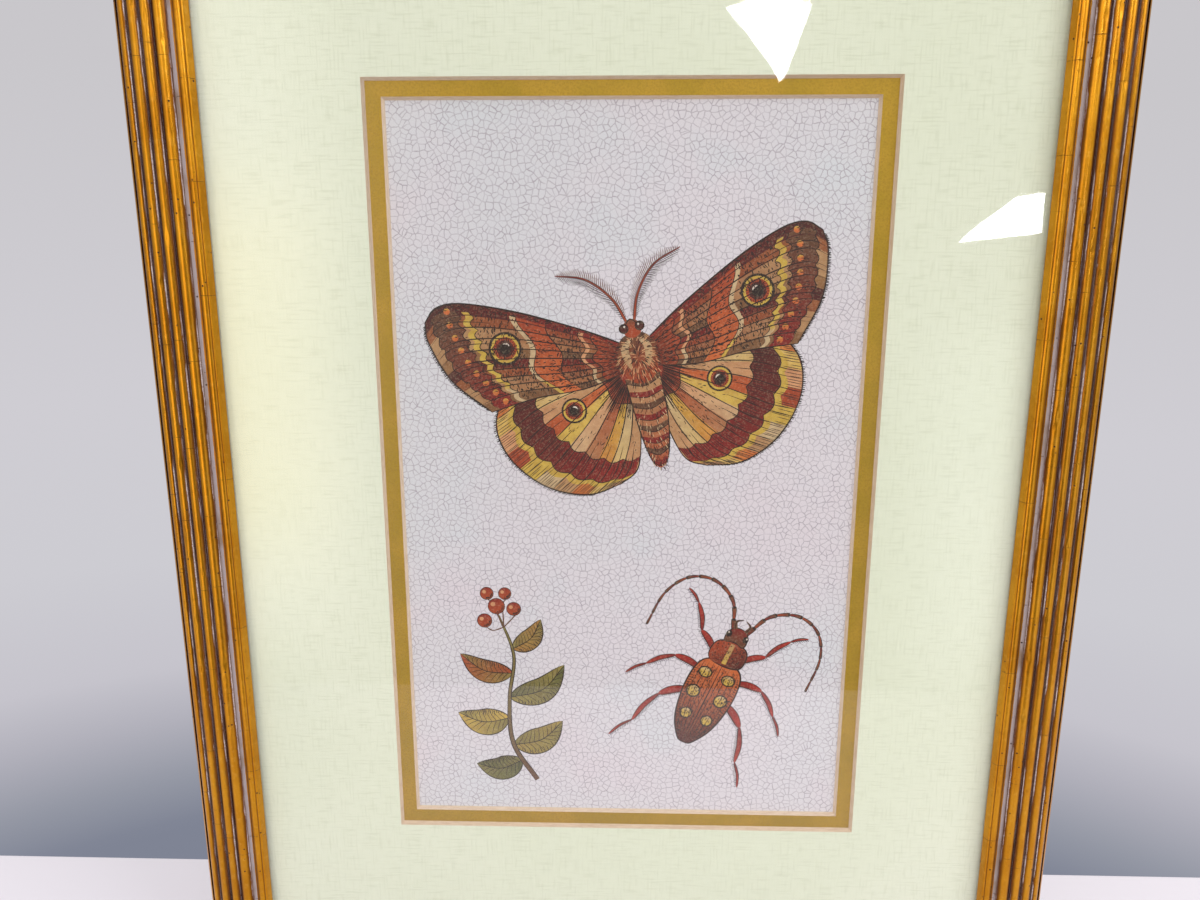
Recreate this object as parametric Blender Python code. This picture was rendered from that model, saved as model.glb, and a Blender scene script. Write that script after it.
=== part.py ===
"""A framed print for a wall: reeded gilt moulding, glass, two window mats, a print and its backing.

Metres, +Z up. The front looks along -Y, and a wall behind the picture is the plane y = 0.
The origin is the notch of the hanger, on the back of the top rail. A depth below is a distance
in front of the rails' back faces, and a reach is a distance in from a rail's outer side.
"""

import math

import bmesh
import bpy
from mathutils import Matrix, Vector

MM = 0.001
GAP = 0.3 * MM

# The glass is a stock sheet, and the frame is made round it.
GLASS_WIDTH = 304.8 * MM
GLASS_HEIGHT = 406.4 * MM
GLASS_THICKNESS = 2.0 * MM
RABBET_PLAY = 2.0 * MM
RABBET_REACH = 19.0 * MM
SIGHT_REACH = 25.5 * MM
FRAME_WIDTH = GLASS_WIDTH + 2 * (RABBET_PLAY + RABBET_REACH)
FRAME_HEIGHT = GLASS_HEIGHT + 2 * (RABBET_PLAY + RABBET_REACH)
BUMPER_THICKNESS = 2.5 * MM
RAIL_BACK_Y = -(BUMPER_THICKNESS + GAP)

# The package in the rabbet, from the front of the outer mat backwards.
MAT_FRONT_DEPTH = 12.4 * MM
MAT_THICKNESS = 1.2 * MM
MAT_BEVEL_RUN = 1.0 * MM
PRINT_THICKNESS = 0.3 * MM
BACKING_THICKNESS = 3.0 * MM
GLASS_BACK_DEPTH = MAT_FRONT_DEPTH + GAP
LIP_BACK_DEPTH = GLASS_BACK_DEPTH + GLASS_THICKNESS + GAP
INNER_MAT_FRONT_DEPTH = MAT_FRONT_DEPTH - MAT_THICKNESS - GAP
PRINT_FRONT_DEPTH = INNER_MAT_FRONT_DEPTH - MAT_THICKNESS - GAP
BACKING_FRONT_DEPTH = PRINT_FRONT_DEPTH - PRINT_THICKNESS - GAP
BACKING_BACK_DEPTH = BACKING_FRONT_DEPTH - BACKING_THICKNESS

OUTER_WINDOW = (187.0 * MM, 292.8 * MM)
INNER_WINDOW = (174.0 * MM, 280.3 * MM)
WINDOW_SHIFT = 1.9 * MM
CUTTER_MARGIN = 1.0 * MM
PRINT_SIZE = (203.0 * MM, 305.0 * MM)

# The moulding's face, from the outer side inwards: each reed runs from (reach, height) to
# (reach, height) and swells by its last number. Heights are above the outer mat's front.
SIDE_TOP_HEIGHT = 1.0 * MM
SIDE_QUIRK = (0.5 * MM, 1.4 * MM)
SIDE_BEAD = ((0.25 * MM, 1.9 * MM), (1.2 * MM, 4.9 * MM), 0.62 * MM)
REEDS = (
    ((2.1 * MM, 5.4 * MM), (5.0 * MM, 6.2 * MM), 0.62 * MM),
    ((5.9 * MM, 6.5 * MM), (9.5 * MM, 6.6 * MM), 0.72 * MM),
    ((10.4 * MM, 6.8 * MM), (13.9 * MM, 6.6 * MM), 0.68 * MM),
    ((14.8 * MM, 6.6 * MM), (19.0 * MM, 5.8 * MM), 0.8 * MM),
)
GROOVE_DROP = 1.2 * MM
GROOVE_SIDE = 0.2 * MM
FILLET = ((19.15 * MM, 4.5 * MM), (20.65 * MM, 4.4 * MM))
SIGHT_BEAD = ((20.75 * MM, 4.8 * MM), (23.7 * MM, 5.0 * MM), 0.55 * MM)
SIGHT_CREST = ((23.7 * MM, 5.0 * MM), (24.6 * MM, 4.8 * MM), 0.3 * MM)
LIP_EDGE_HEIGHT = 3.0 * MM
ARC_STEPS = 12

# The hardware on the back.
HANGER_LENGTH = 44.0 * MM
HANGER_WIDTH = 9.0 * MM
HANGER_THICKNESS = 0.8 * MM
HANGER_REACH = 9.0 * MM
HANGER_LIFT = 1.2 * MM
LIFTED_HALF_LENGTH = 13.0 * MM
JOGGLE_HALF_LENGTH = 15.0 * MM
TOOTH_PITCH = 4.0 * MM
TOOTH_DEPTH = 2.0 * MM
TOOTH_COUNT = 6
NAIL_X = 18.0 * MM
NAIL_HEAD_RADIUS = 1.8 * MM
NAIL_HEAD_THICKNESS = 0.7 * MM
NAIL_RADIUS = 0.6 * MM
NAIL_LENGTH = 9.0 * MM
NAIL_SIDES = 16
POINT_LENGTH = 12.0 * MM
POINT_WIDTH = 6.0 * MM
POINT_THICKNESS = 0.4 * MM
POINTS_UP_THE_SIDES = (-130.0 * MM, 0.0, 130.0 * MM)
POINTS_ALONG_THE_ENDS = (-80.0 * MM, 80.0 * MM)
BUMPER_RADIUS = 5.0 * MM
BUMPER_SIDES = 32
BUMPER_X = FRAME_WIDTH / 2 - 22.0 * MM
BUMPER_REACH = 9.0 * MM

HANGER_CENTRE_Z = FRAME_HEIGHT / 2 - HANGER_REACH
NOTCH_Z = HANGER_CENTRE_Z - HANGER_WIDTH / 2 + TOOTH_DEPTH

COLOURS = {
    "gilt_wood": ((0.58, 0.29, 0.03), 0.38, 0.75),
    "glass": ((0.92, 0.95, 0.93), 0.04, 0.0),
    "linen_mat": ((0.74, 0.77, 0.62), 0.9, 0.0),
    "gold_mat": ((0.47, 0.29, 0.04), 0.5, 0.3),
    "print_paper": ((0.74, 0.69, 0.74), 0.75, 0.0),
    "backing_card": ((0.42, 0.3, 0.18), 0.9, 0.0),
    "steel": ((0.55, 0.56, 0.58), 0.35, 1.0),
    "brass": ((0.62, 0.45, 0.16), 0.32, 1.0),
    "felt": ((0.12, 0.1, 0.09), 1.0, 0.0),
}


def clear_scene():
    for item in list(bpy.data.objects):
        bpy.data.objects.remove(item, do_unlink=True)


def make_material(name):
    colour, roughness, metallic = COLOURS[name]
    material = bpy.data.materials.new(name)
    material.use_nodes = True
    shader = material.node_tree.nodes["Principled BSDF"]
    shader.inputs["Base Color"].default_value = (*colour, 1.0)
    shader.inputs["Roughness"].default_value = roughness
    shader.inputs["Metallic"].default_value = metallic
    if name == "glass":
        shader.inputs["Transmission Weight"].default_value = 1.0
    return material


def mesh_from(bm, name):
    """Close a bmesh into a mesh whose faces point outwards."""
    bmesh.ops.recalc_face_normals(bm, faces=bm.faces)
    mesh = bpy.data.meshes.new(name)
    bm.to_mesh(mesh)
    bm.free()
    return mesh


def add_object(name, mesh, material, centre, location, turn=0.0):
    """Place a mesh in the frame's own axes, turned about the axis that points at the wall."""
    item = bpy.data.objects.new(name, mesh)
    bpy.context.scene.collection.objects.link(item)
    if not mesh.materials:
        mesh.materials.append(material)
    item.parent = centre
    item.location = location
    item.rotation_euler = (0.0, turn, 0.0)
    return item


def arc(start, end, swell, steps=ARC_STEPS):
    """Points on a circular arc that leaves its chord by swell, to the left of start to end."""
    start = Vector(start)
    end = Vector(end)
    half = (end - start) / 2
    radius = (half.length ** 2 + swell ** 2) / (2 * swell)
    left = Vector((-half.y, half.x)).normalized()
    centre = start + half + left * (swell - radius)
    spread = math.asin(min(1.0, half.length / radius))
    if swell > radius:
        spread = math.pi - spread
    middle = math.atan2(left.y, left.x)
    points = []
    for step in range(steps + 1):
        angle = middle + spread * (1 - 2 * step / steps)
        points.append(centre + radius * Vector((math.cos(angle), math.sin(angle))))
    return points


def moulding_outline():
    """The rail's section as (reach, depth), from the back of its outer side round to the back."""
    face = [Vector((0.0, SIDE_TOP_HEIGHT)), Vector(SIDE_QUIRK)]
    face += arc(*SIDE_BEAD)
    previous_end = SIDE_BEAD[1]
    for start, end, swell in REEDS:
        floor = min(previous_end[1], start[1]) - GROOVE_DROP
        face.append(Vector((previous_end[0] + GROOVE_SIDE, floor)))
        face.append(Vector((start[0] - GROOVE_SIDE, floor)))
        face += arc(start, end, swell)
        previous_end = end
    face += [Vector(FILLET[0]), Vector(FILLET[1])]
    face += arc(*SIGHT_BEAD)
    face += arc(*SIGHT_CREST)[1:]
    face.append(Vector((SIGHT_REACH, LIP_EDGE_HEIGHT)))
    to_depth = Vector((0.0, MAT_FRONT_DEPTH))
    outline = [Vector((0.0, 0.0))]
    outline += [point + to_depth for point in face]
    outline.append(Vector((SIGHT_REACH, LIP_BACK_DEPTH)))
    outline.append(Vector((RABBET_REACH, LIP_BACK_DEPTH)))
    outline.append(Vector((RABBET_REACH, 0.0)))
    return outline


def rail_mesh(name, outer_length):
    """A rail along Z with 45 degree mitres, its outer side at x = 0 and its front at -Y."""
    bm = bmesh.new()
    half = outer_length / 2 - GAP / 2
    ring = [bm.verts.new((reach, -depth, -half)) for reach, depth in moulding_outline()]
    section = bm.faces.new(ring)
    top = bmesh.ops.extrude_face_region(bm, geom=[section])
    top_verts = [part for part in top["geom"] if isinstance(part, bmesh.types.BMVert)]
    bmesh.ops.translate(bm, verts=top_verts, vec=(0.0, 0.0, 2 * half))
    for vert in bm.verts:
        towards_middle = -1.0 if vert.co.z > 0 else 1.0
        vert.co.z += towards_middle * vert.co.x
    return mesh_from(bm, name)


def window_cutter_mesh(name, window):
    """A wedge-sided block that cuts a window with sloping edges through a mat of front y = 0."""
    bm = bmesh.new()
    bmesh.ops.create_cube(bm, size=2.0)
    for vert in bm.verts:
        vert.co.y = MAT_THICKNESS + CUTTER_MARGIN if vert.co.y > 0 else -CUTTER_MARGIN
        narrowing = vert.co.y * MAT_BEVEL_RUN / MAT_THICKNESS
        vert.co.x *= window[0] / 2 - narrowing
        vert.co.z *= window[1] / 2 - narrowing
    return mesh_from(bm, name)


def sheet_mesh(name, size, thickness):
    """A flat sheet with its front at y = 0."""
    bm = bmesh.new()
    bmesh.ops.create_cube(bm, size=1.0)
    bmesh.ops.scale(bm, vec=(size[0], thickness, size[1]), verts=bm.verts)
    bmesh.ops.translate(bm, vec=(0.0, thickness / 2, 0.0), verts=bm.verts)
    return mesh_from(bm, name)


def extruded(outline, thickness):
    """An outline of (x, z) points made thickness deep, from y = 0 towards the wall."""
    bm = bmesh.new()
    face = bm.faces.new([bm.verts.new((x, 0.0, z)) for x, z in outline])
    moved = bmesh.ops.extrude_face_region(bm, geom=[face])
    verts = [part for part in moved["geom"] if isinstance(part, bmesh.types.BMVert)]
    bmesh.ops.translate(bm, verts=verts, vec=(0.0, thickness, 0.0))
    return bm


def hanger_outline():
    """A strip with round ends and a row of teeth along the middle of its lower edge."""
    half = HANGER_WIDTH / 2
    straight = HANGER_LENGTH / 2 - half
    outline = []
    for end in (1, -1):
        for step in range(ARC_STEPS + 1):
            angle = math.pi * (step / ARC_STEPS - 0.5)
            outline.append((end * (straight + half * math.cos(angle)), end * half * math.sin(angle)))
    first_tooth = -TOOTH_COUNT / 2 * TOOTH_PITCH
    for tooth in range(TOOTH_COUNT):
        left = first_tooth + tooth * TOOTH_PITCH
        if tooth:
            outline.append((left, -half + TOOTH_DEPTH))
        outline.append((left + TOOTH_PITCH / 2, -half))
    return outline


def hanger_mesh(name):
    """The sawtooth strip, lifted off the rail between its two nailed ends."""
    bm = extruded(hanger_outline(), HANGER_THICKNESS)
    for end in (-1, 1):
        for half_length in (LIFTED_HALF_LENGTH, JOGGLE_HALF_LENGTH):
            bmesh.ops.bisect_plane(
                bm,
                geom=bm.verts[:] + bm.edges[:] + bm.faces[:],
                plane_co=(end * half_length, 0.0, 0.0),
                plane_no=(1.0, 0.0, 0.0),
            )
    halfway = (LIFTED_HALF_LENGTH + JOGGLE_HALF_LENGTH) / 2
    for vert in bm.verts:
        if abs(vert.co.x) < halfway:
            vert.co.y += HANGER_LIFT
    return mesh_from(bm, name)


def point_outline():
    """A framer's point: straight sides and a round inner end, from the rabbet's wall inwards."""
    half = POINT_WIDTH / 2
    outline = [(0.0, half), (0.0, -half)]
    for step in range(ARC_STEPS + 1):
        angle = math.pi * (step / ARC_STEPS - 0.5)
        outline.append((POINT_LENGTH - half + half * math.cos(angle), half * math.sin(angle)))
    return outline


def add_cylinder(bm, radius, start_y, end_y, sides):
    """A closed round bar along Y."""
    turned = Matrix.Rotation(math.pi / 2, 4, "X")
    place = Matrix.Translation((0.0, (start_y + end_y) / 2, 0.0)) @ turned
    bmesh.ops.create_cone(
        bm,
        cap_ends=True,
        segments=sides,
        radius1=radius,
        radius2=radius,
        depth=abs(end_y - start_y),
        matrix=place,
    )


def nail_mesh(name):
    """A round head with the shank turned out of its front face, the head's front at y = 0."""
    bm = bmesh.new()
    add_cylinder(bm, NAIL_HEAD_RADIUS, 0.0, NAIL_HEAD_THICKNESS, NAIL_SIDES)
    front = min(bm.faces, key=lambda face: face.calc_center_median().y)
    inset = NAIL_HEAD_RADIUS - NAIL_RADIUS
    bmesh.ops.inset_region(bm, faces=[front], thickness=inset, use_even_offset=True)
    shank = bmesh.ops.extrude_face_region(bm, geom=[front])
    verts = [part for part in shank["geom"] if isinstance(part, bmesh.types.BMVert)]
    bmesh.ops.delete(bm, geom=[front], context="FACES_ONLY")
    bmesh.ops.translate(bm, verts=verts, vec=(0.0, -NAIL_LENGTH, 0.0))
    return mesh_from(bm, name)


def bumper_mesh(name):
    bm = bmesh.new()
    add_cylinder(bm, BUMPER_RADIUS, 0.0, BUMPER_THICKNESS, BUMPER_SIDES)
    return mesh_from(bm, name)


def cut(target, cutter):
    """Take the cutter's shape out of the target and leave the cutter as a wire guide."""
    cutter.hide_render = True
    cutter.display_type = "WIRE"
    opening = target.modifiers.new(cutter.name, "BOOLEAN")
    opening.operation = "DIFFERENCE"
    opening.solver = "EXACT"
    opening.object = cutter


def nail_clearance_mesh(name):
    """The round clearance that one nail needs through the hanger and into the top rail."""
    bm = bmesh.new()
    add_cylinder(bm, NAIL_RADIUS + GAP, -NAIL_LENGTH - 2 * GAP, GAP, NAIL_SIDES)
    return mesh_from(bm, name)


def y_at(depth):
    return RAIL_BACK_Y - depth


def build_rails(centre, material):
    """Four mitred rails; a turn about Y brings each one's outer side outwards."""
    quarter = math.pi / 2
    half_width = FRAME_WIDTH / 2
    half_height = FRAME_HEIGHT / 2
    sides = {
        "rail_left": (FRAME_HEIGHT, (-half_width, RAIL_BACK_Y, 0.0), 0.0),
        "rail_right": (FRAME_HEIGHT, (half_width, RAIL_BACK_Y, 0.0), 2 * quarter),
        "rail_top": (FRAME_WIDTH, (0.0, RAIL_BACK_Y, half_height), quarter),
        "rail_bottom": (FRAME_WIDTH, (0.0, RAIL_BACK_Y, -half_height), -quarter),
    }
    rails = {}
    for name, (length, location, turn) in sides.items():
        rails[name] = add_object(name, rail_mesh(name, length), material, centre, location, turn)
    return rails


def build_package(centre, materials):
    """Everything that the rabbet holds, from the glass back to the card."""
    stock = (GLASS_WIDTH, GLASS_HEIGHT)
    glass_front = GLASS_BACK_DEPTH + GLASS_THICKNESS
    sheets = (
        ("glass", "glass", stock, GLASS_THICKNESS, 0.0, glass_front),
        ("outer_mat", "linen_mat", stock, MAT_THICKNESS, 0.0, MAT_FRONT_DEPTH),
        ("inner_mat", "gold_mat", stock, MAT_THICKNESS, 0.0, INNER_MAT_FRONT_DEPTH),
        ("print_sheet", "print_paper", PRINT_SIZE, PRINT_THICKNESS, WINDOW_SHIFT, PRINT_FRONT_DEPTH),
        ("backing_board", "backing_card", stock, BACKING_THICKNESS, 0.0, BACKING_FRONT_DEPTH),
    )
    layers = {}
    for name, material, size, thickness, x, front_depth in sheets:
        mesh = sheet_mesh(name, size, thickness)
        layers[name] = add_object(name, mesh, materials[material], centre, (x, y_at(front_depth), 0.0))
    for name, window in (("outer_mat", OUTER_WINDOW), ("inner_mat", INNER_WINDOW)):
        mat = layers[name]
        cutter_name = f"{name}_window"
        mesh = window_cutter_mesh(cutter_name, window)
        cutter_place = mat.location + Vector((WINDOW_SHIFT, 0.0, 0.0))
        cut(mat, add_object(cutter_name, mesh, mat.data.materials[0], centre, cutter_place))


def build_points(centre, material):
    """Framer's points round the rabbet, lying on the backing board."""
    quarter = math.pi / 2
    mesh = mesh_from(extruded(point_outline(), POINT_THICKNESS), "framers_point")
    wall_x = FRAME_WIDTH / 2 - RABBET_REACH - GAP
    wall_z = FRAME_HEIGHT / 2 - RABBET_REACH - GAP
    y = y_at(BACKING_BACK_DEPTH - GAP)
    places = []
    for row, z in enumerate(POINTS_UP_THE_SIDES, start=1):
        places.append((f"point_left_{row}", (-wall_x, y, z), 0.0))
        places.append((f"point_right_{row}", (wall_x, y, z), 2 * quarter))
    for row, x in enumerate(POINTS_ALONG_THE_ENDS, start=1):
        places.append((f"point_top_{row}", (x, y, wall_z), quarter))
        places.append((f"point_bottom_{row}", (x, y, -wall_z), -quarter))
    for name, location, turn in places:
        add_object(name, mesh, material, centre, location, turn)


def build_hanger(centre, materials, top_rail):
    """The hanger's strip and its two nails, with the holes that they go through."""
    strip_y = RAIL_BACK_Y + GAP
    head_y = strip_y + HANGER_THICKNESS + GAP
    strip = add_object(
        "hanger", hanger_mesh("hanger"), materials["brass"], centre, (0.0, strip_y, HANGER_CENTRE_Z)
    )
    nail = nail_mesh("hanger_nail")
    for name, side in (("left", -1), ("right", 1)):
        place = (side * NAIL_X, head_y, HANGER_CENTRE_Z)
        add_object(f"hanger_nail_{name}", nail, materials["steel"], centre, place)
        clearance_name = f"nail_clearance_{name}"
        mesh = nail_clearance_mesh(clearance_name)
        clearance = add_object(clearance_name, mesh, materials["steel"], centre, place)
        cut(strip, clearance)
        cut(top_rail, clearance)


def build_bumpers(centre, material):
    mesh = bumper_mesh("bumper")
    z = -FRAME_HEIGHT / 2 + BUMPER_REACH
    for name, side in (("left", -1), ("right", 1)):
        add_object(f"bumper_{name}", mesh, material, centre, (side * BUMPER_X, -BUMPER_THICKNESS, z))


def main():
    clear_scene()
    materials = {name: make_material(name) for name in COLOURS}
    centre = bpy.data.objects.new("frame_centre", None)
    bpy.context.scene.collection.objects.link(centre)
    centre.location = (0.0, 0.0, -NOTCH_Z)
    rails = build_rails(centre, materials["gilt_wood"])
    build_package(centre, materials)
    build_points(centre, materials["steel"])
    build_hanger(centre, materials, rails["rail_top"])
    build_bumpers(centre, materials["felt"])
    bpy.context.view_layer.update()


main()
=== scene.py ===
"""Looks of a framed insect print: rubbed gilt moulding, glass, two mats and a drawn plate."""

import bisect
import math
import random

import bmesh
import bpy
import numpy as np
from mathutils import Matrix, Vector, noise
from mathutils.geometry import delaunay_2d_cdt


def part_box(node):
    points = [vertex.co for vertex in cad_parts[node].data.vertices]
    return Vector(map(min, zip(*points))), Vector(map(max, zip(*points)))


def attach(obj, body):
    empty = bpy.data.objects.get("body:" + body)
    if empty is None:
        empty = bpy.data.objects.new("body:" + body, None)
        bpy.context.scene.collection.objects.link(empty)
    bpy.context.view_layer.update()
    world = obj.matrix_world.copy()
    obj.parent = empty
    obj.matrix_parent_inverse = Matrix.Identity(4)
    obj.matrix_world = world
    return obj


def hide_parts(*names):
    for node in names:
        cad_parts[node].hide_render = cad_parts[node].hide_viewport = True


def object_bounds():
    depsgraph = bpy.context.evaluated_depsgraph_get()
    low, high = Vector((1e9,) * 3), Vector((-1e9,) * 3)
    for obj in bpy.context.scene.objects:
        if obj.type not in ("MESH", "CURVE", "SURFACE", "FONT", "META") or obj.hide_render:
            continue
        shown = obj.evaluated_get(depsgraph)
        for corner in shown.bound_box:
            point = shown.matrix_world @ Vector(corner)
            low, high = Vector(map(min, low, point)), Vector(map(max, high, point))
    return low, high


MM = 0.001
GAP = 0.3 * MM

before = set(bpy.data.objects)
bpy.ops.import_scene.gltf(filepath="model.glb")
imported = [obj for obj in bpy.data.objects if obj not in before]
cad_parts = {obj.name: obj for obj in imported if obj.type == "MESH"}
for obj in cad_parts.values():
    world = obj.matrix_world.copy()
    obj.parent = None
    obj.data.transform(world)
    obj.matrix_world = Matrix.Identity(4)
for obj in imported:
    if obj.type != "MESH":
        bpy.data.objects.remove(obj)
cad_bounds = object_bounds()

# Where the main faces lie, read from the solids.
BOTTOM = cad_bounds[0][2]
BACK_OF_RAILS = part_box("rail_top")[1][1]
MAT_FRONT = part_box("outer_mat")[0][1]
PRINT_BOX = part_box("print_sheet")
PRINT_CENTRE = (Vector(PRINT_BOX[0]) + Vector(PRINT_BOX[1])) / 2
MAT_FRONT_DEPTH = BACK_OF_RAILS - MAT_FRONT

# The moulding's section, as the solids have it: reaches in from the outer side and heights
# above the outer mat's front. A reed is start, end and swell.
RABBET_REACH = 19.0 * MM
SIGHT_REACH = 25.5 * MM
LIP_BACK_HEIGHT = 2.6 * MM
SIDE_TOP_HEIGHT = 1.0 * MM
SIDE_QUIRK = (0.5 * MM, 1.4 * MM)
SIDE_BEAD = ((0.25 * MM, 1.9 * MM), (1.2 * MM, 4.9 * MM), 0.62 * MM)
REEDS = (
    ((2.1 * MM, 5.4 * MM), (5.0 * MM, 6.2 * MM), 0.62 * MM),
    ((5.9 * MM, 6.5 * MM), (9.5 * MM, 6.6 * MM), 0.72 * MM),
    ((10.4 * MM, 6.8 * MM), (13.9 * MM, 6.6 * MM), 0.68 * MM),
    ((14.8 * MM, 6.6 * MM), (19.0 * MM, 5.8 * MM), 0.8 * MM),
)
GROOVE_DROP = 1.2 * MM
GROOVE_SIDE = 0.2 * MM
FILLET = ((19.15 * MM, 4.5 * MM), (20.65 * MM, 4.4 * MM))
SIGHT_BEAD = ((20.75 * MM, 4.8 * MM), (23.7 * MM, 5.0 * MM), 0.55 * MM)
SIGHT_CREST = ((23.7 * MM, 5.0 * MM), (24.6 * MM, 4.8 * MM), 0.3 * MM)
LIP_EDGE_HEIGHT = 3.0 * MM
ARC_STEPS = 10
HAIR = 0.1 * MM

# How far the dark of a groove reaches up a reed's two flanks, from its foot: bole and chalk rub at
# the foot, and above it painted shade on the flanks.
OUTER_WEAR_AND_SHADE = (0.6, 0.3, 0.1)
INNER_WEAR_AND_SHADE = (0.78, 0.56, 0.38, 0.2, 0.08)

# The rails' slices along their length, and the marks of hand and time on their reeds.
RAIL_SLICE = 1.1 * MM
RAIL_SMOOTH = 38
WAVER = 0.045 * MM
WAVER_ACROSS = 300.0
WAVER_ALONG = 28.0
DENTS_PER_RAIL = 46
DENT_OFF_CROWN = 0.8 * MM
DENT_SIZE = (0.35 * MM, 0.75 * MM)
DENT_STRETCH = (1.2, 2.2, 3.6)
DENT_DROP = (0.12 * MM, 0.3 * MM)
DENT_FALL = 1.6

# The photograph's view, from the middle of the outer mat's window.
CAMERA_OFFSET = (-0.00165, -0.32267, 0.08653)
CAMERA_PITCH_DOWN = 12.56
CAMERA_YAW_LEFT = 1.55
CAMERA_LENS = 26.38
CAMERA_SENSOR = 36.0


def srgb(code):
    """A colour written as six hex digits, in the linear values that shaders use."""
    parts = [int(code[i:i + 2], 16) / 255 for i in (0, 2, 4)]
    return tuple(c / 12.92 if c <= 0.04045 else ((c + 0.055) / 1.055) ** 2.4 for c in parts)


def opaque(colour):
    return (*colour[:3], 1.0)


class Wire:
    """One output of a shader tree. Arithmetic on it adds Math nodes, and add gives any other."""

    def __init__(self, tree, socket=None):
        self.tree = tree
        self.socket = socket

    def add(self, kind, settings=None, values=None, out=0):
        """A new node: settings are set first, then values go to its sockets, by name or place."""
        node = self.tree.nodes.new(kind)
        for name, setting in (settings or {}).items():
            if name == "stops":
                self.set_stops(node.color_ramp, setting)
            else:
                setattr(node, name, setting)
        for key, value in (values or {}).items():
            if isinstance(value, Wire):
                self.tree.links.new(value.socket, node.inputs[key])
            else:
                node.inputs[key].default_value = value
        return Wire(self.tree, node.outputs[out])

    @staticmethod
    def set_stops(ramp, stops):
        while len(ramp.elements) > 1:
            ramp.elements.remove(ramp.elements[-1])
        ramp.elements[0].position = stops[0][0]
        ramp.elements[0].color = opaque(stops[0][1])
        for place, colour in stops[1:]:
            ramp.elements.new(place).color = opaque(colour)

    def maths(self, operation, *operands, clamp=False):
        values = dict(enumerate((self, *operands)))
        return self.add("ShaderNodeMath", {"operation": operation, "use_clamp": clamp}, values)

    def __add__(self, other):
        return self.maths("ADD", other)

    __radd__ = __add__

    def __sub__(self, other):
        return self.maths("SUBTRACT", other)

    def __rsub__(self, other):
        values = {0: other, 1: self}
        return self.add("ShaderNodeMath", {"operation": "SUBTRACT"}, values)

    def __mul__(self, other):
        return self.maths("MULTIPLY", other)

    __rmul__ = __mul__

    def clamped(self):
        return self.maths("ADD", 0.0, clamp=True)

    def most(self, other):
        return self.maths("MAXIMUM", other)

    def between(self, low, high, to_low=0.0, to_high=1.0):
        """A smooth step from low to high."""
        values = {0: self, 1: low, 2: high, 3: to_low, 4: to_high}
        settings = {"interpolation_type": "SMOOTHSTEP", "clamp": True}
        return self.add("ShaderNodeMapRange", settings, values)

    def mix(self, first, second, blend="MIX"):
        """Between two colours, with this wire as the share of the second."""
        values = {0: self}
        for key, colour in ((6, first), (7, second)):
            values[key] = colour if isinstance(colour, Wire) else opaque(colour)
        settings = {"data_type": "RGBA", "blend_type": blend}
        return self.add("ShaderNodeMix", settings, values, out=2)

    def stretched(self, x, y, z, shift=(0.0, 0.0, 0.0)):
        """This vector scaled along each axis."""
        values = {0: self, "Scale": (x, y, z), "Location": shift}
        return self.add("ShaderNodeMapping", None, values)

    def noise(self, scale, detail=2.0, roughness=0.5, distortion=0.0):
        values = {
            "Vector": self,
            "Scale": scale,
            "Detail": detail,
            "Roughness": roughness,
            "Distortion": distortion,
        }
        return self.add("ShaderNodeTexNoise", None, values)


class Finish:
    """A Principled material that is filled in by wires and plain values."""

    def __init__(self, name, **plain):
        self.material = bpy.data.materials.new(name)
        self.material.use_nodes = True
        self.tree = self.material.node_tree
        self.shader = self.tree.nodes["Principled BSDF"]
        self.start = Wire(self.tree)
        for key, value in plain.items():
            self.shader.inputs[key.replace("_", " ")].default_value = value

    def place(self):
        return self.start.add("ShaderNodeTexCoord", out=3)

    def attribute(self, name, colour=False):
        settings = {"attribute_name": name, "attribute_type": "GEOMETRY"}
        return self.start.add("ShaderNodeAttribute", settings, out=0 if colour else 2)

    def feed(self, socket, wire):
        self.tree.links.new(wire.socket, self.shader.inputs[socket])

    def bump(self, height, distance, strength=1.0):
        values = {"Height": height, "Distance": distance, "Strength": strength}
        self.feed("Normal", self.start.add("ShaderNodeBump", None, values))


def place_camera():
    """The photograph's own view: a wide lens close to the glass, a little above its middle."""
    window = Vector((PRINT_CENTRE.x, MAT_FRONT, PRINT_CENTRE.z))
    level_pitch = math.pi / 2 - math.radians(CAMERA_PITCH_DOWN)
    yaw_left = math.radians(CAMERA_YAW_LEFT)
    data = bpy.data.cameras.new("camera")
    data.sensor_width = CAMERA_SENSOR
    data.lens = CAMERA_LENS
    data.clip_start = 0.01
    camera = bpy.data.objects.new("camera", data)
    bpy.context.scene.collection.objects.link(camera)
    turn = Matrix.Rotation(yaw_left, 4, "Z") @ Matrix.Rotation(level_pitch, 4, "X")
    camera.matrix_world = Matrix.Translation(window + Vector(CAMERA_OFFSET)) @ turn
    bpy.context.scene.camera = camera


def link(mesh, name):
    """A mesh put in the scene as an object of its own."""
    item = bpy.data.objects.new(name, mesh)
    bpy.context.scene.collection.objects.link(item)
    return item


def finished(bm, name, materials, smooth_angle=None):
    """A bmesh made into a piece that rides on the frame."""
    mesh = bpy.data.meshes.new(name)
    bm.to_mesh(mesh)
    bm.free()
    for material in materials:
        mesh.materials.append(material)
    if smooth_angle is not None:
        mesh.shade_smooth()
        mesh.set_sharp_from_angle(angle=math.radians(smooth_angle))
    piece = link(mesh, name)
    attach(piece, "root")
    return piece


def copy_of(node):
    """A node's mesh as a bmesh, with its loose triangles joined."""
    bm = bmesh.new()
    bm.from_mesh(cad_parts[node].data)
    bmesh.ops.remove_doubles(bm, verts=bm.verts, dist=0.00001)
    return bm


# Gilt moulding


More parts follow.
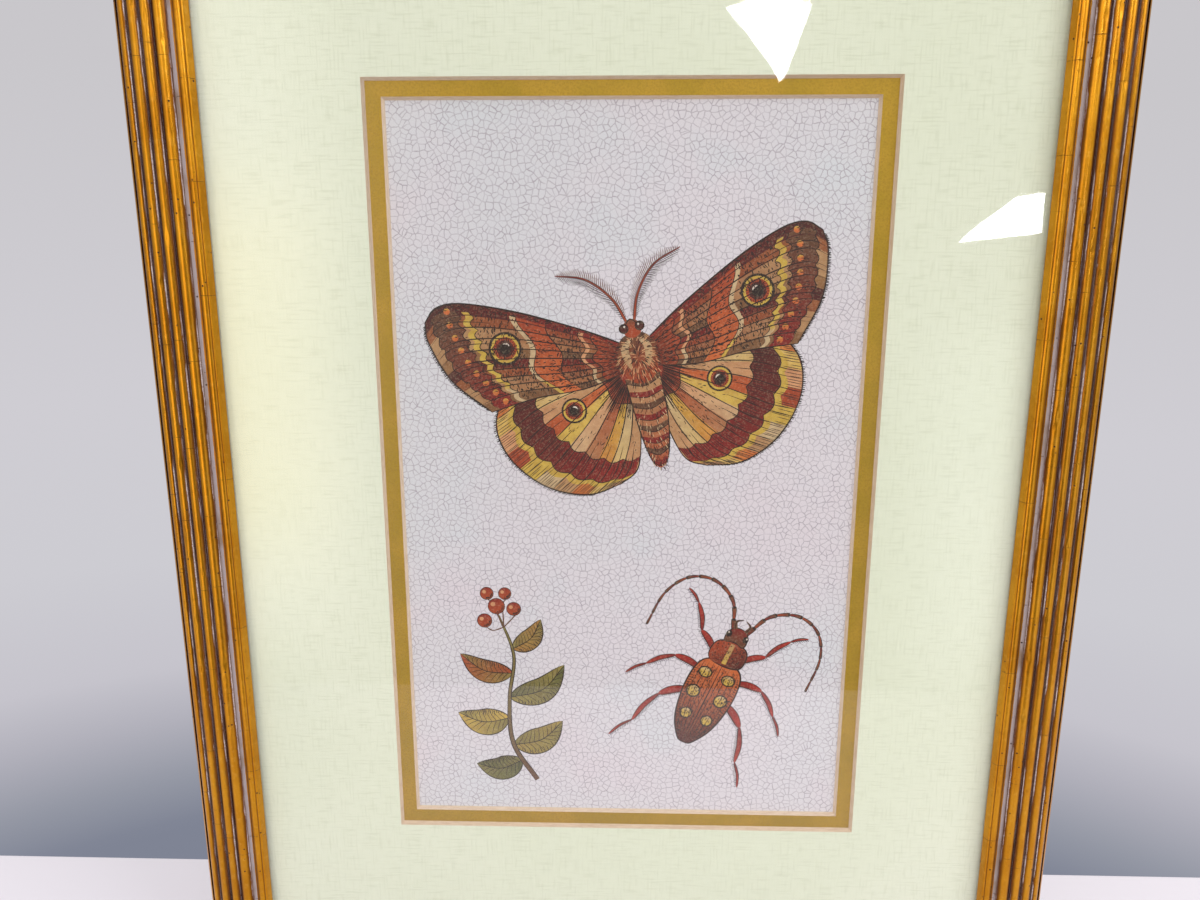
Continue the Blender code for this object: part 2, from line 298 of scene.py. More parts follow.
def arc(start, end, swell):
    """Points on a circular arc that leaves its chord by swell, to the left of start to end."""
    start = Vector(start)
    end = Vector(end)
    half = (end - start) / 2
    radius = (half.length ** 2 + swell ** 2) / (2 * swell)
    left = Vector((-half.y, half.x)).normalized()
    centre = start + half + left * (swell - radius)
    spread = math.asin(min(1.0, half.length / radius))
    if swell > radius:
        spread = math.pi - spread
    middle = math.atan2(left.y, left.x)
    angles = [middle + spread * (1 - 2 * step / ARC_STEPS) for step in range(ARC_STEPS + 1)]
    return [centre + radius * Vector((math.cos(a), math.sin(a))) for a in angles]


def moulding_section():
    """The section as (reach, depth, groove, fillet, side, reed): the last four mark finishes, and
    groove also sets the painted shade on the flanks.
    """
    rows = [(0.0, 0.0, 0.0, 0.0, 1.0, 0.0)]

    def place(point, groove=0.0, fillet=0.0, side=0.0, reed=0.0):
        rows.append((point[0], point[1] + MAT_FRONT_DEPTH, groove, fillet, side, reed))

    place((0.0, SIDE_TOP_HEIGHT), side=1.0)
    place(SIDE_QUIRK, groove=1.0, side=0.6)
    for index, point in enumerate(arc(*SIDE_BEAD)):
        place(point, side=0.9 - 0.05 * index)
    previous_end = SIDE_BEAD[1]
    for number, (start, end, swell) in enumerate(REEDS, start=1):
        floor = min(previous_end[1], start[1]) - GROOVE_DROP
        place((previous_end[0] + GROOVE_SIDE, floor), groove=1.0, reed=number)
        place((start[0] - GROOVE_SIDE, floor), groove=1.0, reed=number)
        points = arc(start, end, swell)
        for index, point in enumerate(points):
            outer = OUTER_WEAR_AND_SHADE[index] if index < len(OUTER_WEAR_AND_SHADE) else 0.0
            from_end = len(points) - 1 - index
            inner = INNER_WEAR_AND_SHADE[from_end] if from_end < len(INNER_WEAR_AND_SHADE) else 0.0
            place(point, groove=max(outer, inner), reed=number)
        previous_end = end
    # On the fillet's inner edge, the sight bead's two ends and the foot of the lip's inner face,
    # groove values give painted shade lines.
    place(FILLET[0], fillet=1.0, reed=5.0)
    place(FILLET[1], groove=0.45, reed=5.0)
    bead = arc(*SIGHT_BEAD)
    marks = {0: 0.55, 1: 0.2, 2: 0.06, len(bead) - 2: 0.2, len(bead) - 1: 0.5}
    for index, point in enumerate(bead + arc(*SIGHT_CREST)[1:]):
        place(point, groove=marks.get(index, 0.0), reed=6.0)
    place((SIGHT_REACH, LIP_EDGE_HEIGHT), reed=6.0)
    place((SIGHT_REACH, LIP_BACK_HEIGHT), groove=0.3, reed=6.0)
    place((RABBET_REACH, LIP_BACK_HEIGHT))
    rows.append((RABBET_REACH, 0.0, 0.0, 0.0, 0.0, 0.0))
    return rows


def rail_bmesh(length, seed):
    """One rail along Z as the solid has it, sliced along its length, with marks for its finish."""
    bm = bmesh.new()
    mark_names = ("groove", "fillet", "side", "reed")
    layer_names = (*mark_names, "across", "along")
    layers = {name: bm.verts.layers.float.new(name) for name in layer_names}
    half = length / 2 - GAP / 2
    ring = []
    across = 0.0
    previous = None
    for reach, depth, *marks in moulding_section():
        vert = bm.verts.new((reach, -depth, -half))
        across += (vert.co - previous).length if previous else 0.0
        previous = vert.co.copy()
        for name, mark in zip(mark_names, marks):
            vert[layers[name]] = mark
        vert[layers["across"]] = across
        ring.append(vert)
    section = bm.faces.new(ring)
    moved = bmesh.ops.extrude_face_region(bm, geom=[section])
    top = [part for part in moved["geom"] if isinstance(part, bmesh.types.BMVert)]
    bmesh.ops.translate(bm, verts=top, vec=(0.0, 0.0, 2 * half))
    for vert in bm.verts:
        vert.co.z += -vert.co.x if vert.co.z > 0 else vert.co.x
        vert[layers["along"]] = vert.co.z
    bmesh.ops.recalc_face_normals(bm, faces=bm.faces)
    lip_back = MAT_FRONT_DEPTH + LIP_BACK_HEIGHT
    for face in bm.faces:
        behind = face.normal.y > 0.9
        in_rabbet = min(vert.co.x for vert in face.verts) > RABBET_REACH - HAIR
        lip_face = max(-vert.co.y for vert in face.verts) > lip_back + HAIR
        face.material_index = 1 if behind or (in_rabbet and not lip_face) else 0
    long_edges = [e for e in bm.edges if abs((e.verts[0].co - e.verts[1].co).z) > length / 2]
    slices = round(length / RAIL_SLICE)
    bmesh.ops.subdivide_edges(bm, edges=long_edges, cuts=slices, use_grid_fill=True)
    bm.normal_update()
    age_rail(bm, layers, length, seed)
    return bm


def age_rail(bm, layers, length, seed):
    """Let the hand-run reeds waver a little and press small dents in their crowns."""
    rng = random.Random(seed)
    crowns = [(start[0] + end[0]) / 2 for start, end, swell in REEDS]
    dents = []
    for _ in range(DENTS_PER_RAIL):
        reach = rng.choice(crowns) + rng.uniform(-DENT_OFF_CROWN, DENT_OFF_CROWN)
        along = rng.uniform(-0.47, 0.47) * length
        size = rng.uniform(*DENT_SIZE)
        stretch = rng.choice(DENT_STRETCH)
        dents.append((reach, along, size, stretch, rng.uniform(*DENT_DROP)))
    lip = MAT_FRONT_DEPTH + LIP_BACK_HEIGHT
    for vert in bm.verts:
        reach, depth, along = vert.co.x, -vert.co.y, vert.co.z
        near_mitre = abs(along) > length / 2 - reach - 2 * MM
        if depth < lip + HAIR / 2 or near_mitre:
            continue
        place = Vector((reach * WAVER_ACROSS, seed * 7.0, along * WAVER_ALONG))
        push = WAVER * noise.noise(place)
        for dent_reach, dent_along, size, stretch, drop in dents:
            if abs(along - dent_along) > size * stretch * DENT_FALL:
                continue
            reach_off = (reach - dent_reach) / size
            along_off = (along - dent_along) / (size * stretch)
            push -= drop * math.exp(-DENT_FALL * (reach_off ** 2 + along_off ** 2))
        vert.co += vert.normal * min(push, 0.0)


def gilt_finish():
    """Gold leaf over brown bole: dark grooves with chalky rub, painted shade on the reeds' flanks,
    a grey fillet, hairline cracks.
    """
    finish = Finish("gilt_moulding", Specular_IOR_Level=0.25, Coat_Roughness=0.2)
    groove = finish.attribute("groove")
    fillet = finish.attribute("fillet")
    side = finish.attribute("side")
    reed = finish.attribute("reed")
    across = finish.attribute("across")
    run = finish.attribute("along") + reed * 0.37
    flat = finish.start.add("ShaderNodeCombineXYZ", None, {0: across, 1: run})
    place = finish.place()
    grain = place.noise(2300.0, 2.0, 0.6)
    mottle = place.noise(430.0, 4.0, 0.65)
    clouds = place.noise(45.0, 3.0, 0.55)
    streaks = flat.stretched(1500.0, 70.0, 1.0).noise(1.0, 3.0, 0.6)
    patches = flat.stretched(60.0, 27.0, 1.0, (3.0, 1.0, 0.0)).noise(1.0, 2.0, 0.5)
    gold = clouds.between(0.35, 0.68).mix(srgb("D0901C"), srgb("C07E10"))
    gold = (mottle.between(0.5, 0.72) * 0.35).mix(gold, srgb("E8AE44"))
    gold = (mottle.between(0.42, 0.28) * 0.4).mix(gold, srgb("945A12"))
    bare_side = streaks.between(0.4, 0.65).mix(srgb("A05A2C"), srgb("6E3A1C"))
    gold = (side - 0.1).between(0.35, 0.8).mix(gold, bare_side)
    # Painted shade: the reeds' flanks turn dark brown towards each groove, more on the inner flank.
    painted_flank_shade = (groove + (mottle - 0.5) * 0.35).between(0.04, 0.5)
    gold = (painted_flank_shade * 0.92).mix(gold, srgb("6A3A06"))
    bole = streaks.between(0.35, 0.65).mix(srgb("6A3410"), srgb("42200A"))
    in_groove = (groove + (mottle - 0.5) * 0.4).between(0.55, 0.75)
    colour = in_groove.mix(gold, bole)
    chalk = grain.between(0.35, 0.65).mix(srgb("D6C8C8"), srgb("9C8A86"))
    dashes = flat.stretched(700.0, 36.0, 1.0, (1.0, 4.0, 0.0)).noise(1.0, 4.0, 0.6)
    rubbed = (dashes + (grain - 0.5) * 0.2).between(0.48, 0.54) * patches.between(0.38, 0.5)
    rubbed = rubbed * (groove + (mottle - 0.5) * 0.3).between(0.52, 0.62)
    colour = rubbed.mix(colour, chalk)
    on_fillet = (fillet + (mottle - 0.5) * 0.35).between(0.36, 0.5)
    grey = clouds.between(0.5, 0.7).mix(srgb("B5A8AA"), srgb("98806E"))
    colour = on_fillet.mix(colour, grey)
    cracks = run.add(
        "ShaderNodeTexVoronoi",
        {"feature": "DISTANCE_TO_EDGE", "voronoi_dimensions": "1D"},
        {"W": run + (mottle - 0.5) * 0.0007, "Scale": 30.0, "Randomness": 1.0},
    )
    crack = cracks.between(0.0042, 0.0018) * mottle.between(0.4, 0.5) * patches.between(0.4, 0.52)
    colour = (crack * 0.8).mix(colour, srgb("4A2206"))
    specks = place.add(
        "ShaderNodeTexVoronoi",
        {"feature": "F1"},
        {"Vector": place, "Scale": 300.0, "Randomness": 1.0},
    )
    pits = specks.between(0.13, 0.08) * patches.between(0.5, 0.54)
    colour = pits.mix(colour, srgb("34160A"))
    finish.feed("Base Color", colour)
    bare = in_groove.most(rubbed).most(on_fillet).most(pits).most(side.between(0.5, 0.9) * 0.7)
    finish.feed("Metallic", 0.95 - bare * 0.93)
    finish.feed("Roughness", 0.25 + mottle * 0.14 + bare * 0.35)
    finish.feed("Coat Weight", 0.14 - bare * 0.14)
    height = mottle * 0.8 + grain * 0.2 - crack * 1.4 - pits * 1.5
    finish.bump(height, 0.00007, 0.7)
    return finish.material


def raw_wood_finish():
    """The unfinished back of the moulding: pale sawn softwood with grain along the rail."""
    finish = Finish("raw_wood", Roughness=0.72)
    along = finish.attribute("along")
    across = finish.attribute("across")
    flat = finish.start.add("ShaderNodeCombineXYZ", None, {0: across, 1: along})
    rings = flat.stretched(700.0, 14.0, 1.0).noise(1.0, 3.0, 0.6, 0.6)
    fibres = flat.stretched(4200.0, 120.0, 1.0).noise(1.0, 2.0, 0.6)
    colour = rings.between(0.35, 0.65).mix(srgb("C79C62"), srgb("A87843"))
    colour = (fibres.between(0.5, 0.75) * 0.5).mix(colour, srgb("8A5E32"))
    finish.feed("Base Color", colour)
    finish.bump(fibres + rings, 0.00012, 0.5)
    return finish.material


def build_rails():
    """Four mitred rails, each turned from the upright one into its place."""
    materials = [gilt_finish(), raw_wood_finish()]
    quarter = math.pi / 2
    low, high = cad_bounds
    middle_z = PRINT_CENTRE.z
    tall = high[2] - low[2]
    wide = high[0] - low[0]
    rails = (
        ("rail_left", "gilt_rail_left", tall, (low[0], middle_z), 0.0),
        ("rail_right", "gilt_rail_right", tall, (high[0], middle_z), 2 * quarter),
        ("rail_top", "gilt_rail_top", wide, (0.0, high[2]), quarter),
        ("rail_bottom", "gilt_rail_bottom", wide, (0.0, low[2]), -quarter),
    )
    for seed, (node, name, length, (x, z), turn) in enumerate(rails, start=3):
        bm = rail_bmesh(length, seed)
        place = Matrix.Translation((x, BACK_OF_RAILS, z)) @ Matrix.Rotation(turn, 4, "Y")
        bmesh.ops.transform(bm, matrix=place, verts=bm.verts)
        rail = finished(bm, name, materials, smooth_angle=RAIL_SMOOTH)
        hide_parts(node)


# Glass and mats


def glass_finish():
    """Clear picture glass: what its faces mirror, over what lies behind it."""
    finish = Finish("picture_glass")
    tree = finish.tree
    smears = finish.place().stretched(9.0, 9.0, 5.0).noise(1.0, 2.0, 0.6)
    one_face = finish.start.add("ShaderNodeFresnel", None, {"IOR": 1.5})
    pane = one_face * 1.35
    leaving = finish.start.add("ShaderNodeNewGeometry", out=6)
    share = (pane + smears.between(0.45, 0.8) * 0.006) * (1.0 - leaving)
    shine = finish.start.add(
        "ShaderNodeBsdfGlossy", None, {"Roughness": 0.02, "Color": (1.0, 1.0, 1.0, 1.0)}
    )
    see = finish.start.add("ShaderNodeBsdfTransparent", None, {"Color": (0.99, 0.995, 0.99, 1.0)})
    both = finish.start.add("ShaderNodeMixShader", None, {0: share.clamped(), 1: see, 2: shine})
    output = next(node for node in tree.nodes if node.type == "OUTPUT_MATERIAL")
    tree.links.new(both.socket, output.inputs["Surface"])
    tree.nodes.remove(finish.shader)
    return finish.material


def linen_finish():
    """Fine pale linen on board: threads both ways, thick and thin, with a few slubs."""
    finish = Finish("linen_mat", Roughness=0.88)
    finish.shader.inputs["Sheen Weight"].default_value = 0.15
    place = finish.place()
    weft = place.stretched(110.0, 1.0, 1500.0).noise(1.0, 2.0, 0.5)
    warp = place.stretched(1500.0, 1.0, 110.0, (5.0, 0.0, 2.0)).noise(1.0, 2.0, 0.5)
    fine = place.stretched(2600.0, 1.0, 2600.0).noise(1.0, 1.0, 0.5)
    clouds = place.noise(7.0, 2.0, 0.5)
    colour = clouds.between(0.35, 0.65).mix(srgb("E1E5D1"), srgb("E5E8D6"))
    colour = (weft.between(0.5, 0.3) * 0.45).mix(colour, srgb("CFD3BC"))
    colour = (warp.between(0.5, 0.3) * 0.36).mix(colour, srgb("CFD3BC"))
    slubs = weft.between(0.62, 0.76) + warp.between(0.64, 0.78)
    colour = (slubs.clamped() * 0.25).mix(colour, srgb("F2F4E4"))
    finish.feed("Base Color", colour)
    finish.bump(weft + warp + fine * 0.3, 0.00008, 0.5)
    return finish.material


def board_core_finish():
    """The cut edge of the mat board, a warm cream."""
    finish = Finish("board_core", Roughness=0.8)
    layers = finish.place().stretched(300.0, 5200.0, 300.0).noise(1.0, 2.0, 0.6)
    finish.feed("Base Color", layers.between(0.35, 0.7).mix(srgb("E2CCB6"), srgb("D0B49A")))
    finish.bump(layers, 0.00003, 0.4)
    return finish.material


def gold_paper_finish():
    """Satin gold paper with a fine brushed grain."""
    finish = Finish("gold_mat", Specular_IOR_Level=0.25)
    place = finish.place()
    grain = place.noise(1400.0, 3.0, 0.7)
    clouds = place.noise(60.0, 3.0, 0.6)
    colour = clouds.between(0.35, 0.65).mix(srgb("AE8D24"), srgb("BA942E"))
    colour = (grain.between(0.42, 0.66) * 0.45).mix(colour, srgb("947020"))
    finish.feed("Base Color", colour)
    finish.feed("Metallic", 0.35 + grain * 0.1)
    finish.feed("Roughness", 0.42 + grain * 0.16)
    finish.bump(grain, 0.00004, 0.5)
    return finish.material


MAT_CLOSING = 0.28 * MM


def build_mats():
    """Each mat is its solid, let down on what lies behind it, with a pale core in its window."""
    core = board_core_finish()
    layers = (
        ("outer_mat", "linen_window_mat", linen_finish(), "linen_mat"),
        ("inner_mat", "gold_window_mat", gold_paper_finish(), "gold_mat"),
    )
    for node, name, material, slot in layers:
        bm = copy_of(node)
        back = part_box(node)[1][1]
        for vert in bm.verts:
            if vert.co.y > back - HAIR:
                vert.co.y += MAT_CLOSING
        bm.normal_update()
        for face in bm.faces:
            face.material_index = 0 if face.normal.y < -0.95 else 1
        mat = finished(bm, name, [material, core])
        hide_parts(node)


# The print


# The drawing's washes and ink.
INK = "24120C"
DEEP = "4E1711"
CRIMSON = "861B14"
RUST = "A9431E"
ORANGE = "CE6A33"
PEACH = "D69B6E"
TAN = "B98F63"
SAND = "CDB28A"
YELLOW = "D0AE48"
UMBER = "65402A"
OLIVE = "81783F"
MOSS = "565A30"
GLINT = "E4D8CE"


def level(value, share):
    """A plain number, or the value that a function has at this share of the way."""
    return value(share) if callable(value) else value


def wave(middle, swing, count, phase=0.0):
    """A value that swings about its middle, count times over the way."""
    return lambda share: middle + swing * math.sin(math.tau * (count * share + phase))


def scallops(middle, swing, count):
    """A value that runs in count small bows."""
    return lambda share: middle + swing * abs(math.sin(math.pi * count * share))


def hump(peak, power=0.7):
    """Nothing at either end and peak in the middle."""
    return lambda share: peak * max(math.sin(math.pi * share), 0.0) ** power


class Curve:
    """A smooth line through a few knots, read by the share of its length."""

    FINENESS = 10

    def __init__(self, *knots, closed=False):
        knots = [Vector(knot) for knot in knots]
        if closed:
            padded = [knots[-1], *knots, knots[0], knots[1]]
        else:
            padded = [2 * knots[0] - knots[1], *knots, 2 * knots[-1] - knots[-2]]
        self.points = []
        for before, start, end, after in zip(padded, padded[1:], padded[2:], padded[3:]):
            for step in range(self.FINENESS):
                share = step / self.FINENESS
                self.points.append(self.between(before, start, end, after, share))
        self.points.append(padded[-2].copy())
        self.gone = [0.0]
        for first, second in zip(self.points, self.points[1:]):
            self.gone.append(self.gone[-1] + (second - first).length)

    @staticmethod
    def between(before, start, end, after, share):
        straight = 2 * start + (end - before) * share
        square = (2 * before - 5 * start + 4 * end - after) * share ** 2
        cube = (3 * start - before - 3 * end + after) * share ** 3
        return 0.5 * (straight + square + cube)

    def at(self, share):
        target = min(max(share, 0.0), 1.0) * self.gone[-1]
        index = max(bisect.bisect_left(self.gone, target), 1)
        low, high = self.gone[index - 1], self.gone[index]
        within = (target - low) / (high - low) if high > low else 0.0
        return self.points[index - 1].lerp(self.points[index], within)

    def run(self, count, first=0.0, last=1.0):
        return [self.at(first + (last - first) * step / count) for step in range(count + 1)]


class Patch:
    """The skin between four curves: u runs from root to margin, v from leading to trailing edge."""

    def __init__(self, leading, trailing, root, margin):
        self.leading = Curve(*leading)
        self.trailing = Curve(*trailing)
        self.root = Curve(*root)
        self.margin = Curve(*margin)

    def at(self, u, v):
        along = self.leading.at(u) * (1 - v) + self.trailing.at(u) * v
        across = self.root.at(v) * (1 - u) + self.margin.at(v) * u
        near = self.leading.at(0) * (1 - v) + self.trailing.at(0) * v
        far = self.leading.at(1) * (1 - v) + self.trailing.at(1) * v
        return along + across - near * (1 - u) - far * u

    def vein(self, v, first=0.0, last=1.0, count=18):
        shares = [first + (last - first) * step / count for step in range(count + 1)]
        return [self.at(u, level(v, u)) for u in shares]

    def ring(self, u, first=0.0, last=1.0, count=40):
        shares = [first + (last - first) * step / count for step in range(count + 1)]
        return [self.at(level(u, v), v) for v in shares]

    def band(self, inner, outer):
        return self.ring(inner) + self.ring(outer)[::-1]

    def strip(self, upper, lower, first=0.0):
        return self.vein(upper, first) + self.vein(lower, first)[::-1]

    def outline(self):
        lead = self.vein(0.0, count=30)[:-1]
        far = self.ring(1.0, count=30)[:-1]
        trail = self.vein(1.0, count=30)[::-1][:-1]
        return lead + far + trail + self.ring(0.0, count=6)[::-1][:-1]


def sides_of(points, width):
    """The two edges of a ribbon whose half width at each share of the way is width(share)."""
    left = []
    right = []
    last = len(points) - 1
    for index, point in enumerate(points):
        ahead = points[min(index + 1, last)] - points[max(index - 1, 0)]
        across = Vector((-ahead.y, ahead.x)).normalized() * level(width, index / last)
        left.append(point + across)
        right.append(point - across)
    return left, right


class Plate:
    """Everything printed on the sheet, in millimetres from its middle: later shapes lie on top."""

    WASH = 1
    PEN = 2

    def __init__(self, seed):
        self.rng = random.Random(seed)
        self.shapes = []
        self.put((0.0, 0.0))

    def put(self, origin, degrees=0.0, size=1.0, flip=1.0):
        """Where the next shapes go: their own origin, turn, size and mirror."""
        self.origin = Vector(origin)
        self.turn = math.radians(degrees)
        self.size = size
        self.flip = flip

    def moved(self, point):
        x = point[0] * self.flip * self.size
        y = point[1] * self.size
        cos, sin = math.cos(self.turn), math.sin(self.turn)
        return self.origin + Vector((x * cos - y * sin, x * sin + y * cos))

    def fill(self, points, colour, other=None, start=(0, 0), end=(0, 1), layer=WASH):
        """A closed shape in one colour, or shaded from colour at start to the other at end."""
        outline = [self.moved(point) for point in points]
        twice_area = sum(
            a.x * b.y - b.x * a.y for a, b in zip(outline, outline[1:] + outline[:1])
        )
        if twice_area < 0:
            outline.reverse()
        if other is None:
            other, start, end = colour, (0, 0), (0, 1)
        shade = (srgb(colour), srgb(other), self.moved(start), self.moved(end))
        self.shapes.append((outline, shade, layer))

    def ribbon(self, points, width, colour, other=None, layer=WASH):
        left, right = sides_of(points, width)
        self.fill(left + right[::-1], colour, other, points[0], points[-1], layer)

    def stroke(self, points, width=0.34, taper=(0.45, 0.2), colour=INK):
        """A pen line that swells and thins a little by hand."""
        phase = self.rng.random()

        def half_width(share):
            ends = min(1.0, taper[0] + 5 * share, taper[1] + 5 * (1 - share))
            return 0.5 * width * ends * (1 + 0.14 * math.sin(math.tau * (2.3 * share + phase)))

        self.ribbon(points, half_width, colour, layer=self.PEN)

    def dash(self, start, end, width=0.3, colour=INK):
        """A short pen mark, pointed at both ends."""
        start, end = Vector(start), Vector(end)
        along = (end - start) / 4
        across = Vector((-along.y, along.x)).normalized() * width / 2
        upper = [start + along + across, end - along + across]
        lower = [end - along - across, start + along - across]
        self.fill([start, *upper, end, *lower], colour, layer=self.PEN)

    def dot(self, centre, radius, colour=INK, other=None, stretch=1.0, sides=9):
        angles = [math.tau * step / sides for step in range(sides)]
        points = [
            Vector(centre) + radius * Vector((math.cos(a) * stretch, math.sin(a))) for a in angles
        ]
        top = Vector(centre) + Vector((0, radius))
        self.fill(points, colour, other, centre, top)

    def near(self, value, spread):
        return value + self.rng.uniform(-spread, spread)


def speckle(plate, patch, count, us, vs, length, along, width=0.3):
    """Short marks strewn over part of a wing, along its veins or across them."""
    for _ in range(count):
        u = plate.rng.uniform(*us)
        v = plate.rng.uniform(*vs)
        middle = patch.at(u, v)
        ahead = (patch.at(u + 0.01, v) - patch.at(u - 0.01, v)).normalized()
        lean = plate.near(0.0, 0.5) + (0.0 if along else math.pi / 2)
        ahead.rotate(Matrix.Rotation(lean, 2))
        reach = ahead * length * plate.rng.uniform(0.3, 0.7)
        plate.dash(middle - reach, middle + reach, width * plate.rng.uniform(0.7, 1.25))


def fringe(plate, patch, count, length, lean=0.25):
    """Fine hairs that stand out from a wing's margin."""
    for index in range(count):
        v = 0.02 + 0.96 * (index + plate.rng.random()) / count
        edge = patch.at(1.0, v)
        out = (edge - patch.at(0.97, v)).normalized()
        out.rotate(Matrix.Rotation(plate.near(lean, 0.15), 2))
        plate.dash(edge - out * 0.6, edge + out * length * plate.rng.uniform(0.7, 1.1), 0.26)


def eyespot(plate, centre, radius):
    """A round mark in rings, with a glint."""
    centre = Vector(centre)
    rings = ((1.0, INK), (0.86, YELLOW), (0.7, RUST), (0.52, DEEP), (0.36, INK))
    for share, colour in rings:
        plate.dot(centre, radius * share, colour, sides=26)
    for index in range(26):
        angle = math.tau * index / 26
        out = Vector((math.cos(angle), math.sin(angle)))
        plate.dash(centre + out * radius * 0.54, centre + out * radius * 0.7, 0.22)
    turns = (1.3, 1.7, 2.1, 2.5, 2.9)
    glint = [centre + 0.3 * radius * Vector((math.cos(a), math.sin(a))) for a in turns]
    plate.ribbon(glint, hump(radius * 0.06), GLINT)


FOREWING = Patch(
    leading=((4, 7), (20, 17), (42, 28.5), (61, 36), (71, 36.5), (76.5, 32)),
    trailing=((5, -3), (22, -6), (42, -5.5), (60, -7)),
    root=((4, 7), (6.5, 2), (5, -3)),
    margin=((76.5, 32), (77, 24), (72, 8), (60, -7)),
)
HINDWING = Patch(
    leading=((5, 1), (24, 2), (42, 2.5), (55, -2)),
    trailing=((4, -9), (4.5, -21), (6.5, -33), (10, -42), (17, -46)),
    root=((5, 1), (6, -4), (4, -9)),
    margin=((55, -2), (60, -14), (57, -28), (46, -41), (31, -47.5), (17, -46)),
)
FOREWING_VEINS = (0.1, 0.2, 0.3, 0.4, 0.5, 0.6, 0.7, 0.8, 0.9)
HINDWING_VEINS = (0.12, 0.22, 0.32, 0.42, 0.52, 0.62, 0.72, 0.81, 0.9)


def paint_forewing(plate):
    wing = FOREWING
    plate.fill(wing.outline(), "8B5231", "9A6238", (5, 0), (70, 14))
    tints = (
        (CRIMSON, DEEP),
        ("9A5A30", TAN),
        ("94381C", "96562E"),
        (UMBER, "94683F"),
        ("8A4022", TAN),
    )
    edges = (0.0, *FOREWING_VEINS, 1.0)
    for index, (upper, lower) in enumerate(zip(edges, edges[1:])):
        near, far = tints[(index * 2) % len(tints)]
        plate.fill(wing.strip(upper, lower), near, far, (10, 0), (70, 16))
    plate.fill(wing.band(0.0, wave(0.15, 0.018, 2.5)), DEEP, RUST, (4, 2), (16, 4))
    plate.fill(wing.band(wave(0.19, 0.018, 2.5), wave(0.215, 0.018, 2.5)), SAND, PEACH)
    plate.fill(
        wing.band(wave(0.36, 0.03, 1.5, 0.1), wave(0.5, 0.035, 1.5, 0.2)),
        RUST, ORANGE, (28, 20), (34, -5),
    )
    plate.fill(wing.band(wave(0.5, 0.035, 1.5, 0.2), wave(0.53, 0.035, 1.5, 0.2)), YELLOW, SAND)
    plate.fill(wing.band(scallops(0.73, 0.03, 9), scallops(0.765, 0.03, 9)), SAND, YELLOW)
    plate.fill(
        wing.band(scallops(0.79, 0.03, 9), scallops(0.93, 0.02, 9)),
        UMBER, CRIMSON, (70, 30), (55, -5),
    )
    plate.fill(wing.strip(0.0, wave(0.06, 0.01, 3)), CRIMSON, DEEP, (10, 10), (70, 36))
    for number in range(9):
        v = (number + 0.5) / 9
        centre = wing.at(0.86, v)
        plate.dot(centre, 1.25, ORANGE, YELLOW, sides=10)
    eyespot(plate, wing.at(0.63, 0.4), 6.4)
    for v in FOREWING_VEINS:
        bent = wave(v, 0.012, 1.0, v)
        plate.stroke(wing.vein(bent, 0.06, 0.995), 0.42, colour=DEEP if v < 0.15 else INK)
    for v in (0.15, 0.35, 0.55, 0.75):
        plate.stroke(wing.vein(v, 0.66, 0.99, 8), 0.3, (0.2, 0.3))
    for value, width in (
        (wave(0.15, 0.018, 2.5), 0.4),
        (wave(0.215, 0.018, 2.5), 0.3),
        (wave(0.36, 0.03, 1.5, 0.1), 0.38),
        (wave(0.5, 0.035, 1.5, 0.2), 0.3),
        (scallops(0.73, 0.03, 9), 0.34),
        (scallops(0.79, 0.03, 9), 0.34),
        (scallops(0.93, 0.02, 9), 0.34),
    ):
        plate.stroke(wing.ring(value, 0.03, 0.98, 54), width)
    speckle(plate, wing, 230, (0.22, 0.36), (0.04, 0.97), 1.1, along=False, width=0.36)
    speckle(plate, wing, 340, (0.53, 0.74), (0.04, 0.97), 1.2, along=False, width=0.36)
    speckle(plate, wing, 150, (0.37, 0.5), (0.06, 0.96), 1.3, along=True)
    speckle(plate, wing, 170, (0.8, 0.95), (0.03, 0.97), 1.2, along=True)
    speckle(plate, wing, 80, (0.02, 0.16), (0.06, 0.95), 1.6, along=True)
    speckle(plate, wing, 100, (0.1, 0.9), (0.005, 0.05), 1.5, along=True)
    plate.stroke(wing.vein(0.0, count=36), 0.62, (0.6, 0.6))
    plate.stroke(wing.ring(1.0), 0.5, (0.6, 0.6))
    plate.stroke(wing.vein(1.0, count=30), 0.46, (0.5, 0.6))
    fringe(plate, wing, 110, 1.3)


